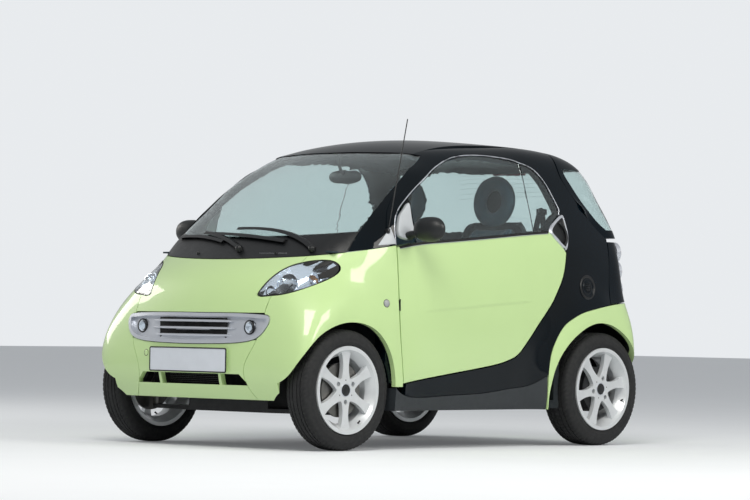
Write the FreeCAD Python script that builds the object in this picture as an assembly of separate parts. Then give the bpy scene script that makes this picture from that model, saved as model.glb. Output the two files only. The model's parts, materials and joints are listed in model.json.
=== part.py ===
import FreeCAD, Part
import math
import os

# Two-seat microcar. Millimetres, front towards -Y, +Z up, the car's left side towards +X.
# The origin lies on the ground, under the middle of the car.
# Body panels are slabs of one curved body skin, cut to the outlines of the real panels.

os.makedirs("parts", exist_ok=True)
V = FreeCAD.Vector

# Overall sizes
LENGTH = 2500.0
WIDTH = 1515.0
HEIGHT = 1524.0
WHEELBASE = 1812.0
FRONT_OVERHANG = 362.0
HALF_LENGTH = LENGTH / 2
HALF_WIDTH = WIDTH / 2
FRONT_AXLE_Y = FRONT_OVERHANG - HALF_LENGTH
REAR_AXLE_Y = FRONT_AXLE_Y + WHEELBASE

# Wheels and tyres
TYRE_RADIUS = 285.0
RIM_RADIUS = 207.0
FRONT_TYRE_WIDTH = 145.0
REAR_TYRE_WIDTH = 172.0
FRONT_WHEEL_X = 636.0
REAR_WHEEL_X = 663.0
KINGPIN_X = 596.0
TYRE_SHOULDER = 26.0
RIM_WELL_RADIUS = 168.0
RIM_WALL = 7.0
WELL_SHARE = 0.4
FLANGE_LIP = 9.0
FLANGE_HEIGHT = 11.0
HUB_RADIUS = 62.0
HUB_BORE = 30.0
BOLT_CIRCLE = 112.0
BOLT_HEAD_RADIUS = 11.5
SPOKE_COUNT = 6
BOLT_COUNT = 3
SPOKE_ROOT_WIDTH = 62.0
SPOKE_NECK_WIDTH = 38.0
SPOKE_TIP_WIDTH = 74.0
SPOKE_THICKNESS = 24.0
SPOKE_INSET = 16.0
REAR_WHEEL_TURN = 41.0
WHEEL_CLEARANCE = 7.0

BEAD_INSET = 10.0
CROWN_DROP = 2.0
BOLT_HOLE_RADIUS = 6.5

# Running gear
BALL_SPREAD = 118.0
UPRIGHT_RADIUS = 22.0
ARM_HEIGHT = 20.0
ARM_SPREAD = 95.0
CROSS_HALF = 270.0
FLANGE_HUB_RADIUS = 46.0
DISC_RADIUS = 128.0
DISC_WALL = 12.0
DISC_OFFSET = 10.0
SPIGOT_LENGTH = 14.0
DRUM_RADIUS = 112.0
DRUM_WIDTH = 50.0
CARRIER_WALL = 20.0
BEAM_RADIUS = 34.0
BEAM_Z = 205.0
ENGINE_WIDTH = 560.0
ENGINE_LENGTH = 400.0
ENGINE_HEIGHT = 270.0
ENGINE_BOTTOM_Z = 250.0
ENGINE_Y = 858.0
SILENCER_RADIUS = 52.0
SILENCER_LENGTH = 430.0
SILENCER_Y = 1116.0
SILENCER_Z = 330.0
TAILPIPE_RADIUS = 21.0

# Floor, cabin and trim
PAN_WALL = 40.0
PAN_BOTTOM_Z = 190.0
TOE_Y = -562.0
HEEL_Y = 640.0
OUTRIGGER_X = 640.0
OUTRIGGER_Y = -600.0
OUTRIGGER_TOP_Z = 420.0
BOOT_FLOOR_Z = 560.0
BOOT_END_Y = 1170.0
DASH_TOP_Z = 930.0
DASH_DEPTH = 250.0
DECK_WALL = 12.0
SEAT_X = 305.0
SEAT_WIDTH = 450.0
HEADREST_RADIUS = 135.0
HEADREST_HOLE = 46.0
HEADREST_WALL = 62.0
STEERING_RADIUS = 185.0
STEERING_RIM = 14.0
STEERING_Y = -190.0
STEERING_Z = 800.0
STEERING_TILT = 27.0
COLUMN_RADIUS = 30.0
SEAT_BASE_INSET = 60.0
SEAT_BASE_Y = -20.0
SEAT_BASE_LENGTH = 330.0
SEAT_BASE_Z = 290.0
HEADREST_Y = 573.0
HEADREST_Z = 1222.0
RAIL_X = 225.0
RAIL_WIDTH = 50.0
RAIL_HEIGHT = 70.0
BRACKET_X = 315.0
BRACKET_WIDTH = 40.0
HANGER_X = 120.0
HANGER_WALL = 14.0

AERIAL_X = 672.0
AERIAL_Y = -600.0
AERIAL_TIP_Y = -469.0
AERIAL_TIP_Z = 1574.0
AERIAL_RADIUS = 2.6
AERIAL_FOOT = 14.0
AERIAL_BASE = 18.0
WIPER_HEIGHT = 14.0
WIPER_WIDTH = 13.0

# Body walls and gaps
SHUT_GAP = 7.0
PANEL_GAP = 3.0
SEAT_GAP = 0.3
CELL_WALL = 60.0
DOOR_WALL = 75.0
WING_WALL = 26.0
BUMPER_WALL = 26.0
ROOF_WALL = 38.0
GLASS_WALL = 5.0
GLASS_INSET = 3.0
HATCH_WALL = 30.0
FLAP_WALL = 38.0
LAMP_WALL = 34.0
SILL_WALL = 62.0
OVERRUN = 40.0
FAR = 2000.0
STATION_STEP = 115.0
ANGLE_STEP = 7.0
RUN_SAMPLES = 600

# Places of the body's seams
ROOF_SEAM_X = 470.0
HATCH_BOTTOM_Z = 1038.0
LAMP_BOTTOM_Z = 716.0
LAMP_INNER_X = 520.0
FLAP_TOP_Z = 1031.0
BUMPER_SEAM_X = 552.0
COWL_RISE = 82.0
BUMPER_BOTTOM_Z = 233.0
POST_WALL = 70.0
SCREEN_WALL = 6.0
# Wheel arch edges: angle from the rear upwards and distance from the axle over the tyre radius
ARCH_FRONT_SHARES = [
    (-62, 1.10), (-40, 1.09), (-14, 1.08), (8, 1.088), (39, 1.14), (60, 1.16), (82, 1.125), (106, 1.11),
    (131, 1.135), (155, 1.155), (180, 1.125), (204, 1.12),
]
ARCH_REAR_SHARES = [
    (-62, 1.045), (-20, 1.045), (10, 1.045), (42, 1.07), (75, 1.13), (100, 1.18), (130, 1.22), (155, 1.32),
    (180, 1.42), (212, 1.62),
]

# Nose
GRILLE_WALL = 24.0
GRILLE_LIP = 5.0
GRILLE_RIM = 17.0
GRILLE_DISH = 12.0
LAMP_RIM_GAP = 2.5
HEADLAMP_WALL = 40.0
FOG_LAMP_X = 367.0
FOG_LAMP_Z = 572.0
FOG_LAMP_RADIUS = 33.0
FOG_LAMP_LENGTH = 34.0
SLOT_HALF_LENGTH = 205.0
SLOT_HEIGHT = 21.0
SLOT_BAR = 17.0
SLOT_MIDDLE_Z = 566.0
INTAKE_TOP_Z = 352.0
INTAKE_BOTTOM_Z = 300.0
INTAKE_HALF_TOP = 330.0
INTAKE_HALF_BOTTOM = 385.0
INTAKE_BAR_X = 205.0
INTAKE_BAR_WIDTH = 17.0
PLATE_WIDTH = 520.0
PLATE_HEIGHT = 110.0
PLATE_THICKNESS = 2.0
PLATE_Z = 415.0
PLATE_CARRIER = 3.0
PLATE_STAND = 22.0
FRAME_WALL = 10.0

# Tail
HATCH_GLASS_TOP_Z = 1392.0
HATCH_GLASS_BOTTOM_Z = 1091.0
HATCH_FRAME = 38.0
TAIL_LAMP_RADIUS = 47.0
TAIL_LAMP_X = 606.0
TAIL_LAMP_ZS = (978.0, 884.0, 792.0)
TAIL_LAMP_BULGE = 18.0
TAIL_LAMP_DEPTH = 20.0
CARRIER_END_Y = -600.0
CARRIER_HALF = 600.0
CARRIER_TOP_Z = 930.0

# Doors and mirrors
HINGE_Y = -556.0
HINGE_X = 721.0
HINGE_PIN = 3.0
HINGE_LOW_Z = 660.0
HINGE_HEIGHT = 56.0
HINGE_LEAF = 5.0
HINGE_REACH = 52.0
POST_BITE = 18.0
HATCH_HINGE_X = 55.0
HINGE_ROD = 60.0
HINGE_ROOT = 12.0
FLAP_HINGE_X = 110.0
CABIN_HALF = 604.0
SAIL_TOP_Y = -418.0
SAIL_BOTTOM_Y = -448.0
SAIL_WALL = 26.0
DOOR_RELIEF_X = 680.0
DOOR_RELIEF_Y = -490.0
DOOR_RELIEF_Z = 335.0
MIRROR_X = 800.0
MIRROR_Y = -470.0
MIRROR_Z = 1050.0
MIRROR_WIDTH = 190.0
MIRROR_HEIGHT = 118.0
MIRROR_DEPTH = 92.0
MIRROR_STALK = 22.0

# Shape of the body skin
MIDDLE_Z = 0.46 * HEIGHT
PROFILE_SHARES = [
    (-0.947, 0.135), (-0.984, 0.190), (-1.000, 0.262), (-0.993, 0.341), (-0.981, 0.407),
    (-0.956, 0.473), (-0.906, 0.537), (-0.828, 0.590), (-0.742, 0.650), (-0.592, 0.751),
    (-0.416, 0.860), (-0.264, 0.935), (-0.096, 0.979), (0.120, 0.9985), (0.360, 0.996),
    (0.600, 0.979), (0.760, 0.950), (0.830, 0.910), (0.884, 0.846), (0.932, 0.781),
    (0.964, 0.722), (0.980, 0.656), (0.990, 0.558), (0.996, 0.459), (1.000, 0.328),
    (0.990, 0.210), (0.968, 0.140), (0.900, 0.092), (0.760, 0.075), (0.480, 0.072),
    (0.160, 0.072), (-0.160, 0.072), (-0.480, 0.072), (-0.760, 0.076), (-0.880, 0.094),
]
DECK_SHARES = [(0.0, -0.7456), (0.2632, -0.7328), (0.4605, -0.7096), (0.5921, -0.6880), (0.6776, -0.6664),
               (0.7105, -0.6440), (0.7368, -0.5600), (0.7368, -0.3800)]
SAG_SHARES = [
    (-90, 0.0), (-40, 0.008), (-20, 0.016), (0, 0.033), (14, 0.037), (31, 0.026), (46, 0.020),
    (66, 0.034), (90, 0.040),
    (122, 0.052), (150, 0.062), (166, 0.066), (178, 0.060), (188, 0.034), (202, 0.020), (270, 0.0),
]
SAG_AT = 0.792 * HALF_WIDTH
CORNER_SHARES = [
    (-90, 0.04), (-40, 0.045), (-20, 0.040), (0, 0.042), (15, 0.050), (32, 0.050), (60, 0.058), (90, 0.07),
    (122, 0.065), (150, 0.065), (168, 0.105), (180, 0.085), (190, 0.050), (202, 0.050), (220,
                                                                                         0.050), (270,
                                                                                                  0.04),
]
SECTION_SHARES = [
    (0.070, 0.890), (0.131, 0.918), (0.197, 0.943), (0.295, 0.962), (0.394, 0.972), (0.492, 0.972),
    (0.590, 0.958), (0.656, 0.938), (0.695, 0.918), (0.787, 0.862), (0.918, 0.772), (0.984, 0.716),
    (1.03, 0.675),
]
FRONT_TAPER_SHARES = [(0.0, 0.085), (0.4, 0.095), (0.56, 0.105), (0.7, 0.085), (0.95, 0.03), (1.1, 0.03)]
REAR_TAPER_SHARES = [(0.0, 0.02), (0.4, 0.03), (0.6, 0.045), (0.8, 0.05), (1.0, 0.04)]
FRONT_TAPER_START = -0.20 * HALF_LENGTH
REAR_TAPER_START = 0.36 * HALF_LENGTH
TAPER_LENGTH = 0.50 * HALF_LENGTH
FRONT_FLARE_X = 716.0
REAR_FLARE_X = HALF_WIDTH
FLARE_RADIUS = 330.0
FLARE_FADE = 170.0
FLARE_DROP = 70.0
FLARE_BLEND = 50.0

# Outlines in the side view, as shares of the half length and the height
DOOR_FRONT_SHARES = [
    (-0.4472, 0.6312), (-0.4472, 0.5709), (-0.4464, 0.4987), (-0.4416, 0.418), (-0.432, 0.315),
    (-0.4168, 0.208),
]
DOOR_BOTTOM_SHARES = [
    (-0.4168, 0.208), (-0.264, 0.227), (-0.1072, 0.2441), (0.048, 0.2612), (0.16, 0.2782),
    (0.2096, 0.2913),
]
DOOR_REAR_SHARES = [
    (0.2096, 0.2913), (0.2432, 0.3084), (0.276, 0.336), (0.312, 0.3675), (0.3504, 0.4029),
    (0.3896, 0.4364), (0.4272, 0.4698), (0.4608, 0.5079), (0.4848, 0.5367), (0.5032, 0.565),
    (0.5184, 0.5997), (0.5296, 0.6339),
]
DOOR_CORNER_SHARES = [(0.5296, 0.6339), (0.5072, 0.6549), (0.4736, 0.6798), (0.4392, 0.7008)]
BELT_SHARES = [
    (0.4392, 0.7008), (0.296, 0.6916), (0.16, 0.6818), (0.0192, 0.6713), (-0.16, 0.6588),
    (-0.32, 0.6476), (-0.4472, 0.6312),
]
WINDOW_FRONT_SHARES = [
    (-0.4472, 0.6312), (-0.4456, 0.6627), (-0.44, 0.6903), (-0.4264, 0.7192), (-0.404, 0.7441),
    (-0.3552, 0.7782), (-0.304, 0.8084), (-0.2544, 0.8346), (-0.2048, 0.8589), (-0.156, 0.8819),
    (-0.104, 0.9016), (-0.0464, 0.9193), (0.016, 0.9304), (0.0888, 0.9364), (0.168, 0.9377),
    (0.248, 0.935), (0.3264, 0.9278), (0.3568, 0.9213),
]
DIVIDER_SHARES = [(0.3448, 0.5906), (0.3616, 1.0499)]
QUARTER_TOP_SHARES = [
    (0.3568, 0.9213), (0.3952, 0.914), (0.432, 0.9009), (0.4624, 0.878), (0.488, 0.8504),
    (0.5072, 0.8202), (0.524, 0.7913), (0.5344, 0.7651),
]
QUARTER_REAR_SHARES = [(0.5344, 0.7651), (0.5024, 0.752), (0.472, 0.7323), (0.448, 0.7113),
                       (0.4392, 0.7008)]
SILL_LINE_SHARES = [
    (-0.4672, 0.1969), (-0.432, 0.1798), (-0.384, 0.168), (-0.3416, 0.1647), (-0.2, 0.168),
    (-0.056, 0.1726), (0.0896, 0.1798), (0.208, 0.1916), (0.3336, 0.206), (0.368, 0.2178),
    (0.404, 0.2336),
]
SILL_BOTTOM_Z = 0.122 * HEIGHT
REAR_ARCH_TOP_SHARES = [
    (0.404, 0.2336), (0.4112, 0.2723), (0.4296, 0.3196), (0.46, 0.3622), (0.5, 0.3963),
    (0.5504, 0.4199), (0.6056, 0.4377), (0.6648, 0.4488), (0.744, 0.4606), (0.8328, 0.4698),
    (0.896, 0.4744), (1.008, 0.479),
]
WING_TOP_SHARES = [(-1.12, 0.5512), (-0.4, 0.6457)]
HATCH_SIDE_SHARES = [
    (0.6096, 1.0236), (0.6016, 0.9646), (0.588, 0.9154), (0.5936, 0.8858), (0.62, 0.853),
    (0.6536, 0.8169), (0.696, 0.7717), (0.74, 0.7349), (0.78, 0.7087), (0.824, 0.6857),
]
LAMP_FRONT_SHARES = [(0.824, 0.6857), (0.8192, 0.6299), (0.808, 0.5512), (0.7904, 0.4711)]
# Outlines in the front and rear views, as shares of the half width and the height
BONNET_SEAM_SHARES = [(0.6205, 0.643), (0.6284, 0.5801), (0.6152, 0.5249), (0.5901, 0.4672),
                      (0.5848, 0.4199)]
BUMPER_SEAM_SHARES = [
    (0.5597, 0.336), (0.5347, 0.3084), (0.4911, 0.269), (0.4752, 0.2388), (0.4832, 0.21),
    (0.5122, 0.1785), (0.5531, 0.1496),
]
HEADLAMP_SHARES = [
    (0.4832, 0.479), (0.5017, 0.5066), (0.5267, 0.5341), (0.5716, 0.563), (0.6442, 0.5794),
    (0.7155, 0.586), (0.7696, 0.5833), (0.8079, 0.5682), (0.8224, 0.5459), (0.8079, 0.5197),
    (0.7657, 0.498), (0.7036, 0.4829), (0.6205, 0.4751), (0.5452, 0.4718), (0.5017, 0.4724),
]
GRILLE_SHARES = [
    (0, 0.4186), (0.264, 0.4186), (0.4884, 0.4167), (0.5875, 0.414), (0.6257, 0.4081),
    (0.635, 0.3957), (0.6244, 0.3766), (0.5967, 0.3563), (0.5518, 0.3412), (0.4858, 0.3327),
    (0.3828, 0.3274), (0.198, 0.3241), (0, 0.3228),
]
SCREEN_SIDE_SHARES = [
    (0.8053, 0.6102), (0.7974, 0.6562), (0.7908, 0.6955), (0.7815, 0.7415), (0.7657, 0.8005),
    (0.7406, 0.8563), (0.7063, 0.899), (0.6601, 0.9318),
]
WIPER_RUNS_SHARES = [
    [(0.6337, 0.622), (0.4356, 0.6627), (0.1584, 0.6857), (-0.0792, 0.6877)],
    [(0.396, 0.6463), (0.0528, 0.664), (-0.3036, 0.6726)],
    [(0.0924, 0.622), (-0.1584, 0.6594), (-0.396, 0.6759)],
    [(-0.1188, 0.6463), (-0.4356, 0.664), (-0.6865, 0.6627)],
]
SCREEN_TOP_SHARES = [(0.6601, 0.9318), (0.5809, 0.9383), (0.396, 0.9429), (0.198, 0.9449), (0, 0.9449)]


# Curves and tables

class Curve:
    """Natural cubic curve through a short table of places and values."""

    def __init__(self, table, turn=0.0):
        rows = sorted(table)
        if turn:
            rows = [(a - turn, b) for a, b in rows] + rows + [(a + turn, b) for a, b in rows]
        self.at = [a for a, b in rows]
        self.value = [b for a, b in rows]
        count = len(rows)
        self.step = [self.at[i + 1] - self.at[i] for i in range(count - 1)]
        self.bend = [0.0] * count
        ahead = [0.0] * count
        known = [0.0] * count
        for i in range(1, count - 1):
            pivot = 2 * (self.step[i - 1] + self.step[i]) - self.step[i - 1] * ahead[i - 1]
            ahead[i] = self.step[i] / pivot
            rise = (self.value[i + 1] - self.value[i]) / self.step[i]
            fall = (self.value[i] - self.value[i - 1]) / self.step[i - 1]
            known[i] = (6 * (rise - fall) - self.step[i - 1] * known[i - 1]) / pivot
        for i in range(count - 2, 0, -1):
            self.bend[i] = known[i] - ahead[i] * self.bend[i + 1]

    def __call__(self, place):
        at = self.at
        if place <= at[0]:
            return self.value[0]
        if place >= at[-1]:
            return self.value[-1]
        low = 0
        high = len(at) - 1
        while high - low > 1:
            middle = (low + high) // 2
            if at[middle] <= place:
                low = middle
            else:
                high = middle
        step = self.step[low]
        a = (at[high] - place) / step
        b = 1 - a
        lift = ((a ** 3 - a) * self.bend[low] + (b ** 3 - b) * self.bend[high]) * step * step / 6
        return a * self.value[low] + b * self.value[high] + lift


def angle_about_middle(y, z):
    angle = math.degrees(math.atan2(z, y))
    return angle if angle >= -90 else angle + 360


PROFILE = Curve([
    (angle_about_middle(a * HALF_LENGTH, b * HEIGHT - MIDDLE_Z),
     math.hypot(a * HALF_LENGTH, b * HEIGHT - MIDDLE_Z)) for a, b in PROFILE_SHARES
], 360)
SAG = Curve(SAG_SHARES)
CORNER = Curve(CORNER_SHARES)
SECTION = Curve(SECTION_SHARES)
FRONT_TAPER = Curve(FRONT_TAPER_SHARES)
REAR_TAPER = Curve(REAR_TAPER_SHARES)


# The body skin: a field that is zero on the painted surface and negative inside it

def rounded_max(a, b, radius):
    p = a + radius
    q = b + radius
    if p <= 0 or q <= 0:
        return max(a, b)
    return math.hypot(p, q) - radius


def blended_max(a, b, width):
    near = max(0.0, width - abs(a - b)) / width
    return max(a, b) + near * near * width / 4


def flare(y, z, axle_y, width):
    beyond = math.hypot(y - axle_y, z - TYRE_RADIUS) - FLARE_RADIUS
    if beyond <= 0:
        return width
    return width - FLARE_DROP * (beyond / FLARE_FADE) ** 2


def half_width(y, z):
    level = z / HEIGHT
    width = HALF_WIDTH * SECTION(level)
    ahead = (FRONT_TAPER_START - y) / TAPER_LENGTH
    if ahead > 0:
        width -= HALF_WIDTH * FRONT_TAPER(level) * ahead * ahead
    behind = (y - REAR_TAPER_START) / TAPER_LENGTH
    if behind > 0:
        width -= HALF_WIDTH * REAR_TAPER(level) * behind * behind
    if y < 0:
        return blended_max(width, flare(y, z, FRONT_AXLE_Y, FRONT_FLARE_X), FLARE_BLEND)
    return blended_max(width, flare(y, z, REAR_AXLE_Y, REAR_FLARE_X), FLARE_BLEND)


def skin_field(x, y, z):
    angle = angle_about_middle(y, z - MIDDLE_Z)
    reach = math.hypot(y, z - MIDDLE_Z)
    edge = PROFILE(angle)
    slope = (PROFILE(angle + 1) - PROFILE(angle - 1)) / math.radians(2) / edge
    sag = SAG(angle) * WIDTH * (x / SAG_AT) ** 2
    over = (reach + sag - edge) / math.sqrt(1 + slope * slope)
    return rounded_max(abs(x) - half_width(y, z), over, CORNER(angle) * WIDTH)


def around(azimuth, elevation):
    """A way out from the core: azimuth from +X towards +Y, elevation upwards."""
    a = math.radians(azimuth)
    e = math.radians(elevation)
    return (math.cos(e) * math.cos(a), math.cos(e) * math.sin(a), math.sin(e))


def over(rearward, sideways):
    """A way out from the core: turned back from straight up, then towards +X."""
    a = math.radians(rearward)
    e = math.radians(sideways)
    return (math.sin(e), math.cos(e) * math.sin(a), math.cos(e) * math.cos(a))


def skin_point(core, way, depth):
    """Where the way out from the core meets the skin sunk by the depth."""
    dx, dy, dz = way
    low = 0.0
    high = LENGTH
    value_low = -1.0
    value_high = 1.0
    for turn in range(16):
        middle = (low + high) / 2
        value = skin_field(core[0] + dx * middle, core[1] + dy * middle, core[2] + dz * middle) + depth
        if value > 0:
            high = middle
            value_high = value
        else:
            low = middle
            value_low = value
        if high - low < LENGTH / 4000:
            break
    reach = low + (high - low) * value_low / (value_low - value_high)
    return V(core[0] + dx * reach, core[1] + dy * reach, core[2] + dz * reach)


def skin_x(y, z, depth=0.0):
    """The skin's distance from the middle plane at one place of the side view."""
    return skin_point((0.0, y, z), (1.0, 0.0, 0.0), depth).x


def spread(first, last, step):
    count = max(3, int(round(abs(last - first) / step)))
    return [first + (last - first) * i / count for i in range(count + 1)]


def skin_y(x, z, side, depth=0.0):
    """The skin's place along Y, ahead for side -1 and behind for side 1."""
    return skin_point((x, side * HALF_LENGTH / 2, z), (0.0, side, 0.0), depth).y


def skin_z(x, y, depth=0.0):
    """The skin's height over one place of the plan."""
    return skin_point((x, y, MIDDLE_Z / 2), (0.0, 0.0, 1.0), depth).z


def fan(core, way, first_angles, second_angles):
    """Places to meet the skin: ways out from one core."""
    return [[(core, way(a, b)) for b in second_angles] for a in first_angles]


def ring(stations, angles, core_z):
    """Places to meet the skin: ways out across the car at each station along it."""
    return [[((0.0, y, core_z), around_car(a)) for a in angles] for y in stations]


def around_car(angle):
    a = math.radians(angle)
    return (math.cos(a), 0.0, math.sin(a))


def skin_surface(grid, depth):
    rows = [[skin_point(core, way, depth) for core, way in row] for row in grid]
    surface = Part.BSplineSurface()
    surface.interpolate(rows)
    return surface


def slab(grid, depth, wall):
    """A curved plate under the body skin, from one depth to another."""
    outer = skin_surface(grid, depth)
    inner = skin_surface(grid, depth + wall)
    faces = [outer.toShape(), inner.toShape()]
    last_u = outer.bounds()[1]
    last_v = outer.bounds()[3]
    inner_u = inner.bounds()[1]
    inner_v = inner.bounds()[3]
    pairs = [
        (outer.uIso(0), inner.uIso(0)), (outer.uIso(last_u), inner.uIso(inner_u)),
        (outer.vIso(0), inner.vIso(0)), (outer.vIso(last_v), inner.vIso(inner_v)),
    ]
    for a, b in pairs:
        faces.append(Part.makeRuledSurface(a.toShape(), b.toShape()))
    shell = Part.Shell(faces)
    shell.sewShape()
    solid = Part.Solid(Part.Shell(shell.Faces))
    if solid.Volume < 0:
        solid.reverse()
    return solid


# Outlines and prisms

def yz(shares):
    return [(a * HALF_LENGTH, b * HEIGHT) for a, b in shares]


def xz(shares):
    return [(a * HALF_WIDTH, b * HEIGHT) for a, b in shares]


def place_x(point):
    return V(0, point[0], point[1])


def place_y(point):
    return V(point[0], 0, point[1])


def place_z(point):
    return V(point[0], point[1], 0)


def outline(curves, place):
    """A closed wire of smooth curves that meet at corners."""
    edges = []
    for points in curves:
        if len(points) == 2:
            edges.append(Part.makeLine(place(points[0]), place(points[1])))
        else:
            curve = Part.BSplineCurve()
            curve.interpolate([place(p) for p in points])
            edges.append(curve.toShape())
    return Part.Wire(Part.__sortEdges__(edges))


def prism(curves, place, start, end):
    along = {place_x: V(1, 0, 0), place_y: V(0, 1, 0), place_z: V(0, 0, 1)}[place]
    face = Part.Face(outline(curves, place))
    face.translate(along * start)
    return face.extrude(along * (end - start))


def shifted(points, distance):
    """An open run of points moved to the left of its direction, or right if negative."""
    result = []
    for i, point in enumerate(points):
        before = points[max(i - 1, 0)]
        after = points[min(i + 1, len(points) - 1)]
        dx = after[0] - before[0]
        dy = after[1] - before[1]
        size = math.hypot(dx, dy)
        result.append((point[0] - dy / size * distance, point[1] + dx / size * distance))
    return result


def meeting(first, second):
    """Where the end of one run and the start of the next cross, if drawn on straight."""
    ax, ay = first[-1]
    ux = ax - first[-2][0]
    uy = ay - first[-2][1]
    bx, by = second[0]
    wx = second[1][0] - bx
    wy = second[1][1] - by
    cross = ux * wy - uy * wx
    if abs(cross) < 0.05 * math.hypot(ux, uy) * math.hypot(wx, wy):
        return ((ax + bx) / 2, (ay + by) / 2)
    t = ((bx - ax) * wy - (by - ay) * wx) / cross
    return (ax + ux * t, ay + uy * t)


def grown(curves, distance):
    """A closed outline, run anticlockwise, moved outwards by a distance."""
    moved = [shifted(c, -distance) for c in curves]
    count = len(moved)
    corners = [meeting(moved[i - 1], moved[i]) for i in range(count)]
    result = []
    for i in range(count):
        run = list(moved[i])
        run[0] = corners[i]
        run[-1] = corners[(i + 1) % count]
        result.append(run)
    return result


def loop_prism(points, place, start, end):
    """A prism on one smooth closed curve, given by its points once round."""
    along = {place_x: V(1, 0, 0), place_y: V(0, 1, 0), place_z: V(0, 0, 1)}[place]
    curve = Part.BSplineCurve()
    curve.interpolate([place(p) for p in points], PeriodicFlag=True)
    face = Part.Face(Part.Wire(curve.toShape()))
    face.translate(along * start)
    return face.extrude(along * (end - start))


def grown_loop(points, distance):
    """The points of a closed curve moved outwards by a distance."""
    count = len(points)
    area = 0.0
    for i in range(count):
        area += points[i - 1][0] * points[i][1] - points[i][0] * points[i - 1][1]
    side = 1 if area > 0 else -1
    result = []
    for i in range(count):
        dx = points[(i + 1) % count][0] - points[i - 1][0]
        dy = points[(i + 1) % count][1] - points[i - 1][1]
        size = math.hypot(dx, dy)
        result.append((points[i][0] + side * dy / size * distance,
                       points[i][1] - side * dx / size * distance))
    return result


def run_y(points, z):
    """Where a smooth run of the side view crosses a height."""
    curve = Part.BSplineCurve()
    curve.interpolate([place_x(p) for p in points])
    return min(curve.discretize(RUN_SAMPLES), key=lambda p: abs(p.z - z)).y


def box(x0, x1, y0, y1, z0, z1):
    return Part.makeBox(x1 - x0, y1 - y0, z1 - z0, V(x0, y0, z0))


def mirrored(shape):
    return shape.mirror(V(0, 0, 0), V(1, 0, 0))


def largest(shape):
    solids = sorted(shape.Solids, key=lambda s: -s.Volume)
    return solids[0]


def kept(shape, smallest=0.0):
    solids = [s for s in shape.Solids if s.Volume > smallest]
    return solids[0] if len(solids) == 1 else Part.makeCompound(solids)


def save(name, shape):
    shape.exportStep("parts/" + name + ".step")
    print(name, round(shape.Volume), len(shape.Solids), shape.isValid(), len(shape.Faces))


# Outlines that the panels share, each run anticlockwise in its view

DOOR_GREEN = [
    yz(DOOR_FRONT_SHARES), yz(DOOR_BOTTOM_SHARES), yz(DOOR_REAR_SHARES),
    yz(DOOR_CORNER_SHARES), yz(BELT_SHARES),
]
WINDOW_TOP = list(reversed(yz(WINDOW_FRONT_SHARES)))
QUARTER_TOP = list(reversed(yz(QUARTER_TOP_SHARES)))
DOOR_OPENING = [
    yz(DOOR_FRONT_SHARES), yz(DOOR_BOTTOM_SHARES), yz(DOOR_REAR_SHARES),
    yz(DOOR_CORNER_SHARES), list(reversed(yz(QUARTER_REAR_SHARES))), QUARTER_TOP, WINDOW_TOP,
]


def arch(shares, axle_y):
    points = []
    for angle, share in shares:
        a = math.radians(angle)
        points.append((axle_y + TYRE_RADIUS * share * math.cos(a), TYRE_RADIUS * (1 + share * math.sin(a))))
    return below(points)


def below(points):
    """The zone under an open run of points."""
    first = points[0]
    last = points[-1]
    return [points, [last, (last[0], -OVERRUN)], [(last[0], -OVERRUN), (first[0], -OVERRUN)],
            [(first[0], -OVERRUN), first]]


def beyond(points, far):
    """The zone between an open run of points and a far line across the view."""
    first = points[0]
    last = points[-1]
    return [points, [last, (far, last[1])], [(far, last[1]), (far, first[1])], [(far, first[1]), first]]


def ball(x, y, z, radius):
    return Part.makeSphere(radius, V(x, y, z))


def bar_x(x0, x1, y, z, radius):
    return Part.makeCylinder(radius, x1 - x0, V(x0, y, z), V(1, 0, 0))


# Room for the wheels

steer_reach = FRONT_WHEEL_X + FRONT_TYRE_WIDTH / 2 - KINGPIN_X - TYRE_SHOULDER
steer_sweep = math.hypot(steer_reach, TYRE_RADIUS - TYRE_SHOULDER) + TYRE_SHOULDER
FRONT_WELL = ball(KINGPIN_X, FRONT_AXLE_Y, TYRE_RADIUS, steer_sweep + WHEEL_CLEARANCE)
REAR_WELL_X = REAR_WHEEL_X - REAR_TYRE_WIDTH / 2 - 2 * WHEEL_CLEARANCE
REAR_WELL = bar_x(REAR_WELL_X, FAR, REAR_AXLE_Y, TYRE_RADIUS, TYRE_RADIUS + WHEEL_CLEARANCE)
FRONT_ARCH = prism(arch(ARCH_FRONT_SHARES, FRONT_AXLE_Y), place_x, KINGPIN_X - OVERRUN, FAR)
REAR_ARCH = prism(arch(ARCH_REAR_SHARES, REAR_AXLE_Y), place_x, KINGPIN_X, FAR)

# Zones of the panels

sill_line = yz(SILL_LINE_SHARES)
rear_arch_top = yz(REAR_ARCH_TOP_SHARES)
wing_top = yz(WING_TOP_SHARES)
screen_side = xz(SCREEN_SIDE_SHARES)
screen_top = xz(SCREEN_TOP_SHARES)
hatch_side = yz(HATCH_SIDE_SHARES)
lamp_front = yz(LAMP_FRONT_SHARES)
OPENING_TOOL = prism(grown(DOOR_OPENING, SHUT_GAP), place_x, 0, FAR)
DOOR_TOOL = prism(DOOR_GREEN, place_x, 0, FAR)
UNDER_CELL = prism([sill_line, rear_arch_top] + below(sill_line[:1] + rear_arch_top[-1:])[1:], place_x, 0,
                   FAR)
WING_ZONE = prism(below(wing_top), place_x, -FAR, FAR)
cowl_top = [(y, z + COWL_RISE) for y, z in wing_top]
HATCH_ZONE = prism(beyond(hatch_side, FAR), place_x, -FAR, FAR)
LAMP_ZONE = prism(beyond(lamp_front, FAR), place_x, 0, FAR)


def both_sides(points):
    """An open run on the left half, from side to middle, carried on to the right half."""
    return points + [(-a, b) for a, b in reversed(points[:-1])]


def screen_zone(grow):
    side = [(screen_side[0][0], 0.5 * HEIGHT)] + shifted(screen_side, -grow)
    top = both_sides(shifted(screen_top, -grow))
    side[-1] = top[0]
    other = [(-a, b) for a, b in reversed(side)]
    return [side[:2], side[1:], top, other[:-1], other[-2:], [other[-1], side[0]]]


# Side of the safety cell: pillars, roof rail and quarter in one piece

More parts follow.
